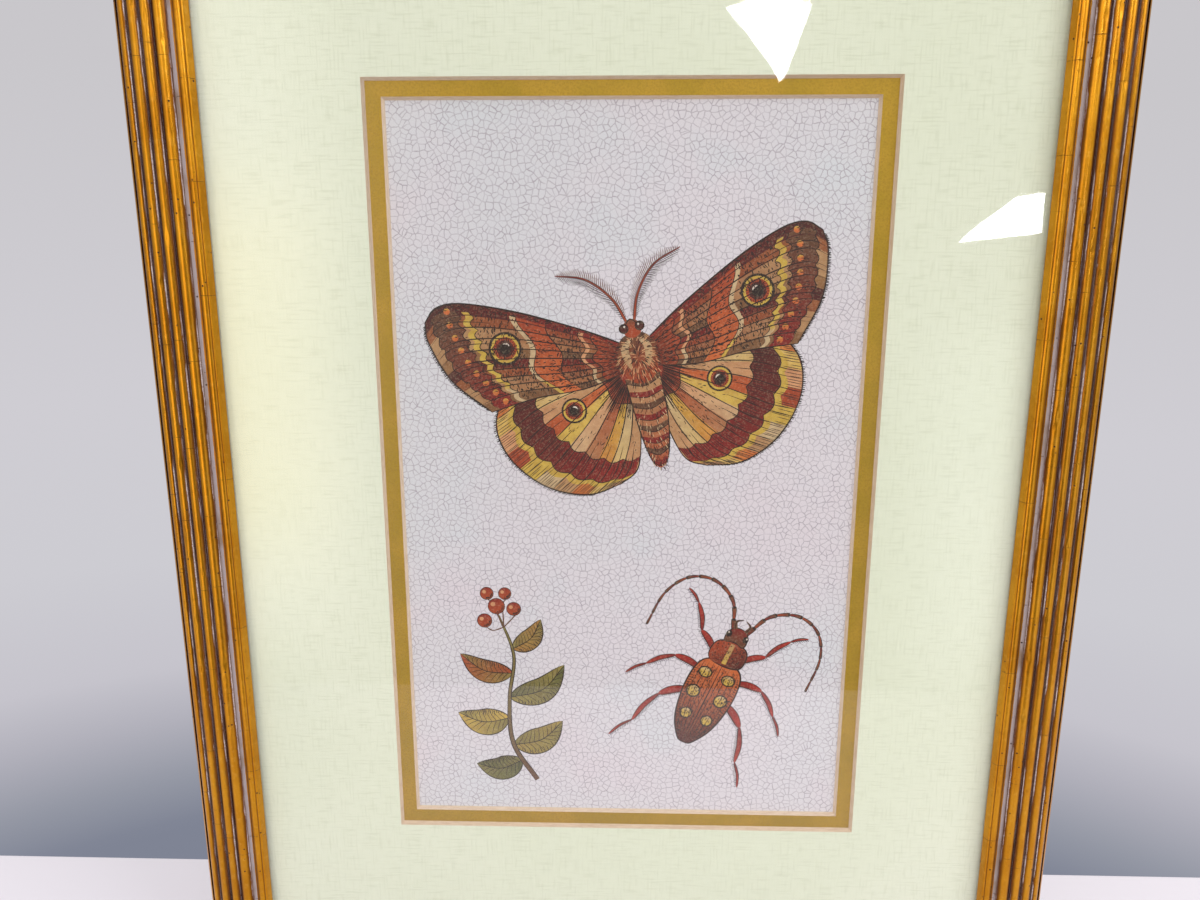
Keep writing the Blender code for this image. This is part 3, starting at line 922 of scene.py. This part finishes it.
def paint_hindwing(plate):
    wing = HINDWING
    plate.fill(wing.outline(), ORANGE, RUST, (5, -5), (52, -30))
    tints = (YELLOW, PEACH, ORANGE, SAND, RUST, "D9B45A", TAN)
    edges = (0.0, *HINDWING_VEINS, 1.0)
    for index, (upper, lower) in enumerate(zip(edges, edges[1:])):
        near = tints[(index * 3) % len(tints)]
        far = tints[(index * 3 + 2) % len(tints)]
        plate.fill(wing.strip(upper, lower, 0.1), near, far, (8, -6), (48, -34))
    plate.fill(wing.band(0.0, wave(0.2, 0.02, 2)), CRIMSON, RUST, (4, -4), (16, -10))
    plate.fill(
        wing.band(scallops(0.66, 0.035, 8), scallops(0.84, 0.03, 8)),
        DEEP, CRIMSON, (58, -10), (24, -42),
    )
    plate.fill(wing.band(scallops(0.84, 0.03, 8), scallops(0.885, 0.03, 8)), YELLOW, ORANGE)
    eyespot(plate, wing.at(0.47, 0.36), 5.0)
    for v in HINDWING_VEINS:
        plate.stroke(wing.vein(wave(v, 0.01, 1.0, v), 0.1, 0.995), 0.4)
        plate.stroke(wing.vein(v + 0.045, 0.55, 0.99, 10), 0.26, (0.2, 0.3))
    for index in range(64):
        v = plate.near((index + 0.5) / 64, 0.006)
        plate.stroke(wing.vein(v, plate.rng.uniform(0.86, 0.93), 0.995, 4), 0.24, (0.2, 0.6))
        plate.stroke(wing.vein(v, 0.05, plate.rng.uniform(0.14, 0.36), 6), 0.26, (0.5, 0.1))
    for index in range(70):
        v = plate.near((index + 0.5) / 70, 0.005)
        first = plate.rng.uniform(0.66, 0.72)
        plate.stroke(wing.vein(v, first, first + plate.rng.uniform(0.05, 0.14), 4), 0.24)
    for value in (wave(0.2, 0.02, 2), scallops(0.66, 0.035, 8), scallops(0.84, 0.03, 8)):
        plate.stroke(wing.ring(value, 0.02, 0.98, 48), 0.36)
    speckle(plate, wing, 130, (0.22, 0.62), (0.04, 0.97), 1.4, along=True, width=0.24)
    plate.stroke(wing.vein(0.0, count=24), 0.4, (0.5, 0.5))
    plate.stroke(wing.ring(1.0), 0.52, (0.6, 0.6))
    plate.stroke(wing.vein(1.0, count=24), 0.46, (0.5, 0.6))
    fringe(plate, wing, 120, 1.4, lean=0.1)


def paint_feather_horn(plate, knots):
    """An antenna like a narrow feather, in the right half."""
    stem = Curve(*knots)
    barbs = 40
    reach = hump(4.6, 0.6)
    for index in range(barbs):
        share = 0.06 + 0.93 * index / barbs
        start = stem.at(share)
        ahead = (stem.at(share + 0.02) - stem.at(share - 0.02)).normalized()
        for side in (-1, 1):
            out = ahead.copy()
            out.rotate(Matrix.Rotation(side * 0.95, 2))
            tip = start + out * reach(share) * plate.rng.uniform(0.85, 1.05)
            middle = start.lerp(tip, 0.5) - ahead * 0.25
            plate.stroke([start, middle, tip], 0.3, (0.9, 0.2), UMBER if side > 0 else INK)
    plate.ribbon(stem.run(24), lambda share: 0.5 - 0.35 * share, RUST, CRIMSON)
    for side in sides_of(stem.run(24), lambda share: 0.5 - 0.3 * share):
        plate.stroke(side, 0.26)


def paint_moth_body(plate):
    abdomen = Curve((0, -6), (0.3, -20), (0, -34), (-0.4, -43))
    girth = lambda share: 6.3 * (1 - share ** 2.2) ** 0.5 + 0.4
    plate.ribbon(abdomen.run(30), girth, TAN, RUST)
    left, right = sides_of(abdomen.run(60), girth)
    rings = 8
    for ring in range(rings):
        first = round(60 * ring / rings)
        last = round(60 * (ring + 0.42) / rings)
        middle = abdomen.at((ring + 0.85) / rings)
        lower = [left[last], middle, right[last]]
        upper = [right[first], abdomen.at((ring + 0.35) / rings), left[first]]
        plate.fill(
            Curve(*lower).run(8) + Curve(*upper).run(8), CRIMSON if ring % 2 else UMBER
        )
        plate.stroke(Curve(*lower).run(10), 0.34)
    for _ in range(230):
        share = plate.rng.random() ** 0.9
        across = plate.near(0.0, 0.92)
        start = abdomen.at(share) + Vector((across * girth(share), 0))
        lean = Vector((across * 0.5 + plate.near(0, 0.2), -1)).normalized()
        shade = plate.rng.choice((INK, INK, DEEP, SAND))
        plate.dash(start, start + lean * plate.rng.uniform(1.0, 2.2), 0.26, shade)
    plate.stroke(left, 0.46)
    plate.stroke(right, 0.46)
    chest = Curve((0, 11), (5.4, 9), (7.6, 2), (5.5, -6), (0, -9), (-5.5, -6), (-7.6, 2), (-5.4, 9),
                  closed=True)
    plate.fill(chest.run(44), UMBER, RUST, (0, 10), (0, -8))
    for side in (-1, 1):
        collar = Curve((side * 1.2, 9), (side * 4.4, 5), (side * 3.4, -3))
        plate.ribbon(collar.run(12), hump(1.5), SAND, TAN)
    for index in range(300):
        angle = plate.rng.uniform(0, math.tau)
        out = Vector((math.cos(angle) * 7.4, math.sin(angle) * 9.6)) * plate.rng.random() ** 0.6
        start = Vector((0, 1)) + out
        lean = (out.normalized() + Vector((0, -0.7))).normalized()
        shade = plate.rng.choice((INK, INK, DEEP, TAN, PEACH))
        plate.dash(start, start + lean * plate.rng.uniform(1.2, 2.6), 0.28, shade)
    plate.dot((0, 12.5), 3.6, RUST, UMBER, sides=20)
    plate.stroke(Curve((-3.6, 12), (0, 16.2), (3.6, 12)).run(12), 0.4)
    for side in (-1, 1):
        plate.dot((side * 3.1, 13), 1.9, INK, sides=14)
        plate.dot((side * 3.1, 13), 1.5, DEEP, "1A0D09", sides=14)
        plate.dot((side * 2.7, 13.7), 0.4, GLINT, sides=8)


def draw_moth(plate, place, degrees, size):
    for paint in (paint_hindwing, paint_forewing):
        for flip in (-1, 1):
            plate.put(place, degrees, size, flip)
            paint(plate)
    for flip in (-1, 1):
        plate.put(place, degrees, size, flip)
        paint_feather_horn(plate, ((1.4, 15), (5, 25), (13, 34), (24, 38)))
    plate.put(place, degrees, size)
    paint_moth_body(plate)


def limb(plate, knots, girths):
    """A jointed leg: a spindle between each knot and the next."""
    for (start, end), girth in zip(zip(knots, knots[1:]), girths):
        start, end = Vector(start), Vector(end)
        bow = Vector((start.y - end.y, end.x - start.x)) * 0.06
        line = Curve(start, (start + end) / 2 + bow, end).run(10)
        width = lambda share, girth=girth: girth * (0.35 + 0.65 * math.sin(math.pi * share) ** 0.6)
        plate.ribbon(line, width, CRIMSON, "B02A1C")
        left, right = sides_of(line, width)
        plate.stroke(left, 0.32)
        plate.stroke(right, 0.32)
        for index in range(int((end - start).length * 1.2)):
            share = (index + 0.6) / ((end - start).length * 1.2)
            foot = start.lerp(end, share)
            out = (end - start).normalized()
            out.rotate(Matrix.Rotation(-0.8, 2))
            plate.dash(foot, foot + out * (girth + 1.0), 0.22)


def paint_beetle_side(plate):
    """The right half of the beetle's legs, horn and wing case."""
    limb(plate, ((6, 13), (14, 19), (20, 29), (26, 33)), (1.3, 0.9, 0.5))
    limb(plate, ((8, 4), (19, 5), (28, -3), (34, -10)), (1.4, 0.9, 0.5))
    limb(plate, ((8, -6), (18, -13), (23, -28), (29, -38)), (1.6, 1.0, 0.5))
    horn = Curve((2.8, 24), (8, 35), (18, 40), (28, 37), (34, 27), (35, 12))
    joints = 12
    for joint in range(joints):
        first = joint / joints
        last = (joint + 0.93) / joints
        thick = 1.0 - 0.05 * joint
        line = horn.run(7, first, last)
        width = lambda share, thick=thick: thick * (0.55 + 0.35 * share)
        plate.ribbon(line, width, RUST if joint % 2 else CRIMSON, UMBER)
        for side in sides_of(line, width):
            plate.stroke(side, 0.3, (0.6, 0.6))
        plate.dot(line[-1], 0.75 * thick, INK, sides=8)
    case = Curve((0, 8.5), (6, 9.5), (9.6, 5), (10.4, -6), (8, -19), (3, -27.5), (0, -28.5))
    outline = case.run(36) + [Vector((0, -10))]
    plate.fill(outline, ORANGE, DEEP, (2, 8), (7, -27))
    spots = (((5, 3.4), 2.5, 1.2), ((6, -6), 3.0, 1.0), ((4.6, -16), 2.6, 1.0))
    for centre, radius, stretch in spots:
        plate.dot(centre, radius, INK, stretch=stretch, sides=18)
        plate.dot(centre, radius * 0.78, YELLOW, SAND, stretch=stretch, sides=18)
    for x in (1.4, 3.4, 5.4, 7.4):
        ridge = Curve((x, 8), (x * 1.06, -6), (x * 0.8, -20), (x * 0.45, -26))
        plate.stroke(ridge.run(24), 0.26, (0.4, 0.2))
    for _ in range(300):
        x = plate.rng.uniform(0.6, 9.4)
        y = plate.rng.uniform(-25, 7.5)
        if x > 9.8 * (1 - max(0.0, (-y - 8) / 20) ** 1.8) ** 0.5 - 0.4:
            continue
        plate.dash((x, y), (x + plate.near(0, 0.25), y - plate.rng.uniform(0.5, 1.1)), 0.3)
    for index in range(26):
        edge = case.at(0.28 + 0.6 * index / 26)
        plate.dash(edge, edge + Vector((-plate.rng.uniform(1.2, 2.6), 0.5)), 0.3)
    plate.stroke(case.run(40), 0.6, (0.6, 0.6))


def draw_beetle(plate, place, degrees):
    for flip in (-1, 1):
        plate.put(place, degrees, flip=flip)
        paint_beetle_side(plate)
    plate.put(place, degrees)
    plate.stroke([Vector((0, 8)), Vector((0.1, -10)), Vector((0, -28))], 0.5)
    shield = Curve((-6.2, 9.5), (-7.6, 13.5), (-6, 18), (0, 19.5), (6, 18), (7.6, 13.5), (6.2, 9.5),
                   (0, 8.4), closed=True)
    plate.fill(shield.run(44), RUST, DEEP, (-4, 18), (5, 9))
    plate.ribbon([Vector((0, 9.4)), Vector((0, 14)), Vector((0, 18.6))], 0.9, YELLOW, TAN)
    for _ in range(110):
        x = plate.near(0, 6.0)
        y = plate.rng.uniform(9.8, 18)
        plate.dash((x, y), (x + plate.near(0, 0.4), y + plate.rng.uniform(0.4, 0.9)), 0.3)
    plate.stroke(shield.run(44), 0.55)
    head = Curve((-4, 18.6), (-4.4, 22), (-2.4, 25.4), (2.4, 25.4), (4.4, 22), (4, 18.6), (0, 19.6),
                 closed=True)
    plate.fill(head.run(36), CRIMSON, UMBER, (0, 26), (0, 19))
    plate.stroke(head.run(36), 0.45)
    for side in (-1, 1):
        plate.dot((side * 3.6, 22.3), 1.5, INK, stretch=0.8, sides=14)
        plate.dot((side * 3.9, 22.8), 0.35, GLINT, sides=8)
        jaw = Curve((side * 2.2, 25), (side * 3, 28), (side * 0.6, 29.6))
        plate.ribbon(jaw.run(8), lambda share: 0.9 * (1 - 0.8 * share), UMBER)
        plate.stroke(jaw.run(8), 0.36)


def leaf(plate, base, tip, bend, width, near, far):
    """A leaf with a midrib, side veins and one shaded half."""
    base, tip = Vector(base), Vector(tip)
    across = Vector((base.y - tip.y, tip.x - base.x))
    rib = Curve(base, (base + tip) / 2 + across * bend, tip)
    line = rib.run(24)
    half_width = lambda share: width * math.sin(math.pi * share ** 0.8) ** 0.85 + 0.05
    left, right = sides_of(line, half_width)
    plate.fill(left + right[::-1], near, far, base, tip)
    plate.fill(line + right[::-1], far, near, base, tip)
    for index in range(9):
        share = 0.08 + 0.8 * index / 9
        start = rib.at(share)
        for side, edge in ((1, left), (-1, right)):
            end = edge[min(round((share + 0.13) * 24), 24)]
            middle = start.lerp(end, 0.5) + (rib.at(share + 0.02) - start) * 0.6
            plate.stroke([start, middle, end], 0.24, (0.8, 0.2))
    for index in range(34):
        share = (index + plate.rng.random()) / 34
        edge = right[min(round(share * 24), 24)]
        start = edge.lerp(rib.at(share), plate.rng.uniform(0.2, 0.6))
        plate.dash(edge, start, 0.22)
    plate.stroke(line, 0.36, (0.9, 0.3))
    plate.stroke(left, 0.4)
    plate.stroke(right, 0.46)


def draw_sprig(plate, place, degrees):
    """A stem with leaves and round fruit."""
    plate.put(place, degrees)
    stem = Curve((4, -42), (-2, -24), (1, -4), (7, 14), (5, 32))
    leaves = (
        (0.14, (-19, -30), 0.16, 5.2, MOSS, OLIVE),
        (0.24, (20, -18), -0.14, 5.6, OLIVE, "A68F45"),
        (0.4, (-21, -6), 0.14, 5.8, OLIVE, YELLOW),
        (0.52, (26, 6), -0.16, 5.4, MOSS, "9A8A44"),
        (0.66, (-14, 19), 0.14, 4.8, "8C7A3C", RUST),
        (0.8, (21, 27), -0.14, 4.2, OLIVE, "B0803C"),
    )
    for share, tip, bend, width, near, far in leaves:
        leaf(plate, stem.at(share), tip, bend, width, near, far)
    plate.ribbon(stem.run(40), lambda share: 1.0 - 0.6 * share, UMBER, OLIVE)
    for side in sides_of(stem.run(40), lambda share: 1.0 - 0.6 * share):
        plate.stroke(side, 0.34)
    fruit = ((5, 36, 3.2), (-1, 31, 2.8), (11.5, 33.5, 2.7), (2.5, 42, 2.5), (9.5, 40.5, 2.4))
    for x, y, radius in fruit:
        stalk = Curve(stem.at(0.93), (x * 0.6 + 2, y - radius - 2), (x, y - radius))
        plate.stroke(stalk.run(8), 0.5, (0.8, 0.8), UMBER)
    for x, y, radius in fruit:
        plate.dot((x, y), radius + 0.25, INK, sides=24)
        plate.dot((x, y), radius, RUST, CRIMSON, sides=24)
        plate.dot((x - radius * 0.35, y + radius * 0.35), radius * 0.3, PEACH, sides=12)
        for index in range(12):
            angle = -1.9 + 1.9 * index / 12
            out = Vector((math.cos(angle), math.sin(angle)))
            start = Vector((x, y)) + out * radius
            plate.dash(start, start - out * plate.rng.uniform(0.6, 1.4), 0.26)


def drawn_plate():
    """The whole drawing: a sprig, a beetle and a moth."""
    plate = Plate(seed=41)
    draw_sprig(plate, (-49.0, -86.0), 12.0)
    draw_beetle(plate, (35.0, -82.0), -24.0)
    draw_moth(plate, (4.0, 48.0), 13.0, 0.97)
    return plate


def topmost_shapes(plate, places, triangles):
    """The number of the last shape that covers each triangle, or -1 on bare paper."""
    spots = np.array([place[:] for place in places])
    centres = spots[np.array(triangles)].mean(axis=1)
    order = np.argsort(centres[:, 0])
    centres = centres[order]
    top = np.full(len(centres), -1)
    for number, (outline, _, _) in enumerate(plate.shapes):
        corners = np.array([point[:] for point in outline])
        low, high = corners.min(axis=0), corners.max(axis=0)
        first, last = np.searchsorted(centres[:, 0], (low[0], high[0]))
        near = first + np.flatnonzero(abs(centres[first:last, 1] - (low[1] + high[1]) / 2)
                                      <= (high[1] - low[1]) / 2)
        x, y = centres[near].T
        turns = np.zeros(len(near), int)
        for start, end in zip(corners, np.roll(corners, -1, axis=0)):
            side = (end[0] - start[0]) * (y - start[1]) - (x - start[0]) * (end[1] - start[1])
            turns += (start[1] <= y) & (end[1] > y) & (side > 0)
            turns -= (start[1] > y) & (end[1] <= y) & (side < 0)
        top[near[turns != 0]] = number
    unsorted = np.empty_like(top)
    unsorted[order] = top
    return unsorted.tolist()


def print_place(bm, point, y):
    """A corner of the sheet's mesh, from the drawing's millimetres."""
    return bm.verts.new((PRINT_CENTRE.x + point.x * MM, y, PRINT_CENTRE.z + point.y * MM))


# Millimetres between the sheet's inner corners, and the nearest that two corners may lie.
SHEET_STEP = 7.0
SHEET_MERGE = 0.0005
SHEET_INSIDE = 1


def build_print():
    """One flat sheet, cut along every edge of the drawing, so that each shape has its own faces."""
    low, high = PRINT_BOX
    half_width = (high[0] - low[0]) / 2 / MM
    half_height = (high[2] - low[2]) / 2 / MM
    plate = drawn_plate()
    corners = [
        Vector((x * half_width, z * half_height)) for x, z in ((-1, -1), (1, -1), (1, 1), (-1, 1))
    ]
    points = list(corners)
    outlines = [list(range(4))]
    for outline, _, _ in plate.shapes:
        outlines.append(list(range(len(points), len(points) + len(outline))))
        points.extend(outline)
    columns = round(2 * half_width / SHEET_STEP)
    rows = round(2 * half_height / SHEET_STEP)
    for column in range(1, columns):
        for row in range(1, rows):
            shares = (2 * column / columns - 1, 2 * row / rows - 1)
            points.append(Vector((half_width * shares[0], half_height * shares[1])))
    cut = delaunay_2d_cdt(points, [], outlines, SHEET_INSIDE, SHEET_MERGE, True)
    places, _, triangles, *_ = cut
    bm = bmesh.new()
    tint = bm.loops.layers.float_color.new("tint")
    verts = [print_place(bm, place, low[1]) for place in places]
    for triangle, top in zip(triangles, topmost_shapes(plate, places, triangles)):
        face = bm.faces.new([verts[index] for index in triangle])
        if top < 0:
            continue
        _, (first, second, start, end), layer = plate.shapes[top]
        face.material_index = layer
        along = end - start
        for loop, index in zip(face.loops, triangle):
            share = min(max((places[index] - start).dot(along) / along.length_squared, 0.0), 1.0)
            loop[tint] = (*(a + (b - a) * share for a, b in zip(first, second)), 1.0)
    rim = [edge for edge in bm.edges if edge.is_boundary]
    walls = bmesh.ops.extrude_edge_only(bm, edges=rim)
    moved = [part for part in walls["geom"] if isinstance(part, bmesh.types.BMVert)]
    bmesh.ops.translate(bm, verts=moved, vec=(0.0, high[1] - low[1], 0.0))
    back = [edge for edge in bm.edges if edge.is_boundary]
    bmesh.ops.edgeloop_fill(bm, edges=back)
    materials = [paper_finish(), wash_finish(), ink_finish()]
    sheet = finished(bm, "printed_plate", materials)
    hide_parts("print_sheet")


def paper_finish():
    """Lavender-white paper, faintly clouded, with a printed crackle of fine grey-mauve lines."""
    finish = Finish("print_paper", Roughness=0.7)
    place = finish.place()
    flat = place.add("ShaderNodeSeparateXYZ", None, {0: place})
    height = Wire(finish.tree, flat.socket.node.outputs[2])
    plan = place.add("ShaderNodeCombineXYZ", None, {0: flat, 1: height})
    wander = plan.add("ShaderNodeTexNoise", None, {"Vector": plan, "Scale": 420.0}, out=1)
    bent = plan.add(
        "ShaderNodeMix", {"data_type": "VECTOR"}, {0: 0.0011, 4: plan, 5: wander}, out=1
    )
    settings = {"feature": "DISTANCE_TO_EDGE", "voronoi_dimensions": "2D"}
    fine = plan.add("ShaderNodeTexVoronoi", settings, {"Vector": bent, "Scale": 455.0})
    strength = place.noise(240.0, 2.0, 0.6)
    lines = fine.between(0.11, 0.03) * strength.between(0.3, 0.7, 0.35, 0.85)
    clouds = place.noise(9.0, 2.0, 0.5)
    tints = place.stretched(1.0, 1.0, 1.0, (4.0, 2.0, 7.0)).noise(26.0, 2.0, 0.5)
    paper = clouds.between(0.35, 0.65).mix(srgb("DED7DF"), srgb("D9D7DE"))
    paper = (tints.between(0.52, 0.7) * 0.6).mix(paper, srgb("DED3DC"))
    paper = (tints.between(0.46, 0.3) * 0.6).mix(paper, srgb("D6D8DF"))
    colour = lines.mix(paper, srgb("A398A6"))
    finish.feed("Base Color", colour)
    finish.bump(place.noise(1300.0, 1.0, 0.5), 0.00001, 0.4)
    return finish.material


def wash_finish():
    """Watercolour over the engraving: the tint pools and grains."""
    finish = Finish("print_wash", Roughness=0.7)
    place = finish.place()
    tint = finish.attribute("tint", colour=True)
    pools = place.noise(260.0, 4.0, 0.65).between(0.3, 0.72)
    grains = place.noise(1500.0, 2.0, 0.6).between(0.45, 0.75)
    colour = (pools * 0.4).mix(tint, srgb("B08878"), blend="MULTIPLY")
    colour = (grains * 0.16).mix(colour, srgb("DCC8A8"))
    finish.feed("Base Color", colour)
    return finish.material


def ink_finish():
    """The engraver's dark brown ink, thinner here and there."""
    finish = Finish("print_ink", Roughness=0.6)
    tint = finish.attribute("tint", colour=True)
    thin = finish.place().noise(700.0, 2.0, 0.6).between(0.5, 0.8)
    finish.feed("Base Color", (thin * 0.18).mix(tint, srgb("8A5A42")))
    return finish.material


# The back


def card_finish():
    """Brown backing card with short fibres and faint scuffs."""
    finish = Finish("backing_card", Roughness=0.9)
    place = finish.place()
    fibres = place.stretched(900.0, 900.0, 260.0).noise(1.0, 3.0, 0.7)
    clouds = place.noise(12.0, 3.0, 0.6)
    colour = clouds.between(0.3, 0.7).mix(srgb("A98A62"), srgb("96774F"))
    colour = (fibres.between(0.5, 0.75) * 0.5).mix(colour, srgb("7C5F3C"))
    finish.feed("Base Color", colour)
    finish.bump(fibres, 0.00008, 0.6)
    return finish.material


def metal_finish(name, light, dark, roughness):
    """Thin plated metal with rolling marks and dull patches."""
    finish = Finish(name, Metallic=1.0)
    place = finish.place()
    marks = place.stretched(400.0, 400.0, 6000.0).noise(1.0, 2.0, 0.6)
    dull = place.noise(300.0, 3.0, 0.6)
    finish.feed("Base Color", dull.between(0.35, 0.7).mix(srgb(light), srgb(dark)))
    finish.feed("Roughness", roughness + marks * 0.2 + dull * 0.1)
    finish.bump(marks, 0.00002, 0.5)
    return finish.material


def felt_finish():
    """Dense dark felt."""
    finish = Finish("felt", Roughness=1.0)
    finish.shader.inputs["Sheen Weight"].default_value = 0.5
    place = finish.place()
    fluff = place.noise(3000.0, 4.0, 0.75)
    finish.feed("Base Color", fluff.between(0.3, 0.75).mix(srgb("2A2623"), srgb("5A524B")))
    finish.bump(fluff, 0.0003, 0.8)
    return finish.material


def dress_hardware():
    """Finishes for the solids that stay in sight."""
    steel = metal_finish("zinc_steel", "B9BCC2", "8F9298", 0.3)
    brass = metal_finish("brass_plate", "C79E4E", "9A7432", 0.28)
    felt = felt_finish()
    card = card_finish()
    glass = glass_finish()
    starts = {"point_": steel, "hanger_nail": steel, "bumper_": felt}
    names = {"hanger": brass, "backing_board": card, "glass": glass}
    for name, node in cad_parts.items():
        material = names.get(name)
        for start, finish in starts.items():
            if name.startswith(start):
                material = finish
        if material is None:
            continue
        node.data.materials.clear()
        node.data.materials.append(material)


# The studio


FLOOR_BEHIND = 0.062
FLOOR_BREAK = -0.29
FLOOR_FRONT = -4.0
FLOOR_WIDE = 6.0
FLOOR_THICK = 0.018
FLOOR_ROUNDING = 0.0015


def floor_finish():
    """A plain pale floor, faintly clouded."""
    finish = Finish("pale_floor", Roughness=0.55)
    clouds = finish.place().noise(3.0, 2.0, 0.5)
    finish.feed("Base Color", clouds.between(0.3, 0.7).mix(srgb("E4DEE6"), srgb("E0DBE3")))
    return finish.material


def build_floor():
    """The floor under the frame, and its far stretch in front, which throws no light back."""
    pale = floor_finish()
    stretches = (("floor", FLOOR_BREAK, FLOOR_BEHIND), ("far_floor", FLOOR_FRONT, FLOOR_BREAK))
    for name, front, back in stretches:
        bm = bmesh.new()
        bmesh.ops.create_cube(bm, size=1.0)
        bmesh.ops.scale(bm, vec=(FLOOR_WIDE, back - front, FLOOR_THICK), verts=bm.verts)
        centre = (0.0, (front + back) / 2, BOTTOM - FLOOR_THICK / 2)
        bmesh.ops.translate(bm, vec=centre, verts=bm.verts)
        if name == "floor":
            bmesh.ops.bevel(
                bm,
                geom=[edge for edge in bm.edges if min(v.co.y for v in edge.verts) > back - MM],
                offset=FLOOR_ROUNDING,
                segments=3,
                profile=0.5,
                affect="EDGES",
                material=-1,
            )
        mesh = bpy.data.meshes.new(name)
        bm.to_mesh(mesh)
        bm.free()
        mesh.materials.append(pale)
        floor = link(mesh, name)
        floor.visible_glossy = name == "floor"
        floor.visible_diffuse = name == "floor"


def add_softbox(name, place, aim, size, power, colour):
    """A square-cornered soft lamp that faces its aim and isn't itself seen."""
    data = bpy.data.lights.new(name, "AREA")
    data.shape = "RECTANGLE"
    data.size, data.size_y = size
    data.energy = power
    data.color = colour
    lamp = bpy.data.objects.new(name, data)
    bpy.context.scene.collection.objects.link(lamp)
    lamp.location = place
    lamp.rotation_euler = (Vector(place) - Vector(aim)).to_track_quat("Z", "Y").to_euler()
    lamp.visible_camera = False


LAMP_WHITE = (1.0, 0.99, 0.97)
LAMP_WARM = (1.0, 0.95, 0.88)
PANEL_PLACE = -1.5
PANEL_LIGHT = 40.0
BRIGHT_PANELS = (
    ("panel_high", ((0.189, 0.539), (0.267, 0.562), (0.349, 0.545), (0.308, 0.427), (0.296, 0.408),
                    (0.279, 0.436), (0.226, 0.5))),
    ("panel_side", ((0.661, 0.11), (0.69, 0.137), (0.765, 0.195), (0.818, 0.203), (0.819, 0.127))),
)


def hang_panel(name, corners):
    """A small bright panel behind the camera, for the glass to mirror."""
    bm = bmesh.new()
    bm.faces.new([bm.verts.new(corner) for corner in corners])
    mesh = bpy.data.meshes.new(name)
    bm.to_mesh(mesh)
    bm.free()
    glow = Finish(name, Base_Color=(0.0, 0.0, 0.0, 1.0), Emission_Strength=PANEL_LIGHT)
    glow.shader.inputs["Emission Color"].default_value = opaque(LAMP_WHITE)
    mesh.materials.append(glow.material)
    link(mesh, name)


def light_studio():
    """Four soft lamps round the camera, and the two panels."""
    z = PRINT_CENTRE.z
    middle = (0.0, MAT_FRONT, z)
    add_softbox("key_softbox", (1.5, -1.1, z + 1.0), middle, (0.9, 0.9), 12.0, LAMP_WHITE)
    add_softbox("ceiling_softbox", (0.0, -0.9, z + 1.9), middle, (1.8, 1.2), 3.0, LAMP_WHITE)
    add_softbox("front_softbox", (0.0, -1.5, z + 0.75), middle, (0.5, 0.3), 2.5, LAMP_WHITE)
    add_softbox("left_softbox", (-1.7, -1.2, z + 0.5), middle, (0.8, 1.2), 1.0, LAMP_WARM)
    for name, corners in BRIGHT_PANELS:
        hang_panel(name, [(x, PANEL_PLACE, z + rise) for x, rise in corners])


# What surrounds the object: the turns to the right and the rises that a zone covers, and its
# light. Later zones lie over earlier ones.
ZONES = (
    ((-0.6, -0.32), (-0.4, 0.4), (2.2, 2.05, 1.85)),
    ((-0.55, -0.35), (-0.3, 0.06), (3.6, 2.9, 1.6)),
    ((0.32, 0.7), (-0.42, -0.08), (1.5, 1.5, 1.6)),
    ((0.26, 0.8), (-0.04, 0.3), (0.12, 0.12, 0.12)),
    ((-0.22, 0.3), (-0.7, 0.2), (0.1, 0.1, 0.105)),
)
ZONE_SOFTNESS = 0.08
LOW_LIGHT = (0.45, 0.45, 0.46)
HIGH_LIGHT = (1.0, 1.0, 1.0)
# The backdrop's colours by the rise of a ray seen from the camera: grey, with a painted shadow that
# darkens it towards the floor.
SHADED_BACKDROP = (
    (0.225, "7F8494"),
    (0.244, "9699A5"),
    (0.267, "B2B1BB"),
    (0.29, "C6C4CC"),
    (0.34, "CDCCD2"),
    (0.42, "CFCDD3"),
    (0.58, "C9C7CB"),
)


def within(value, first, last):
    """One between first and last, fading over both."""
    entering = value.between(first - ZONE_SOFTNESS, first + ZONE_SOFTNESS)
    leaving = value.between(last + ZONE_SOFTNESS, last - ZONE_SOFTNESS)
    return entering * leaving


def light_world():
    """Soft surroundings: warm to the left, dark in front, and a grey backdrop behind with a painted
    shadow towards the floor.
    """
    world = bpy.data.worlds.new("studio")
    bpy.context.scene.world = world
    world.use_nodes = True
    tree = world.node_tree
    tree.nodes.clear()
    start = Wire(tree)
    ray = start.add("ShaderNodeTexCoord", out=0)
    rightward = ray.add("ShaderNodeSeparateXYZ", None, {0: ray})
    parts = rightward.socket.node.outputs
    rise = Wire(tree, parts[2])
    turn = rightward.maths("ARCTAN2", Wire(tree, parts[1]) * -1.0)
    around = rise.between(0.22, 0.5).mix(LOW_LIGHT, HIGH_LIGHT)
    for turns, rises, light in ZONES:
        around = (within(turn, *turns) * within(rise, *rises)).mix(around, light)
    share = rise * 0.5 + 0.5 + rightward * 0.02
    stops = [(place, srgb(code)) for place, code in SHADED_BACKDROP]
    backdrop = share.add("ShaderNodeValToRGB", {"stops": stops}, {0: share})
    seen = start.add("ShaderNodeLightPath", out=0)
    colour = seen.mix(around, backdrop)
    shade = start.add("ShaderNodeBackground", None, {"Color": colour, "Strength": 1.0})
    output = tree.nodes.new("ShaderNodeOutputWorld")
    tree.links.new(shade.socket, output.inputs["Surface"])


bpy.context.scene.view_settings.view_transform = "Standard"
place_camera()
build_rails()
build_mats()
build_print()
dress_hardware()
build_floor()
light_studio()
light_world()
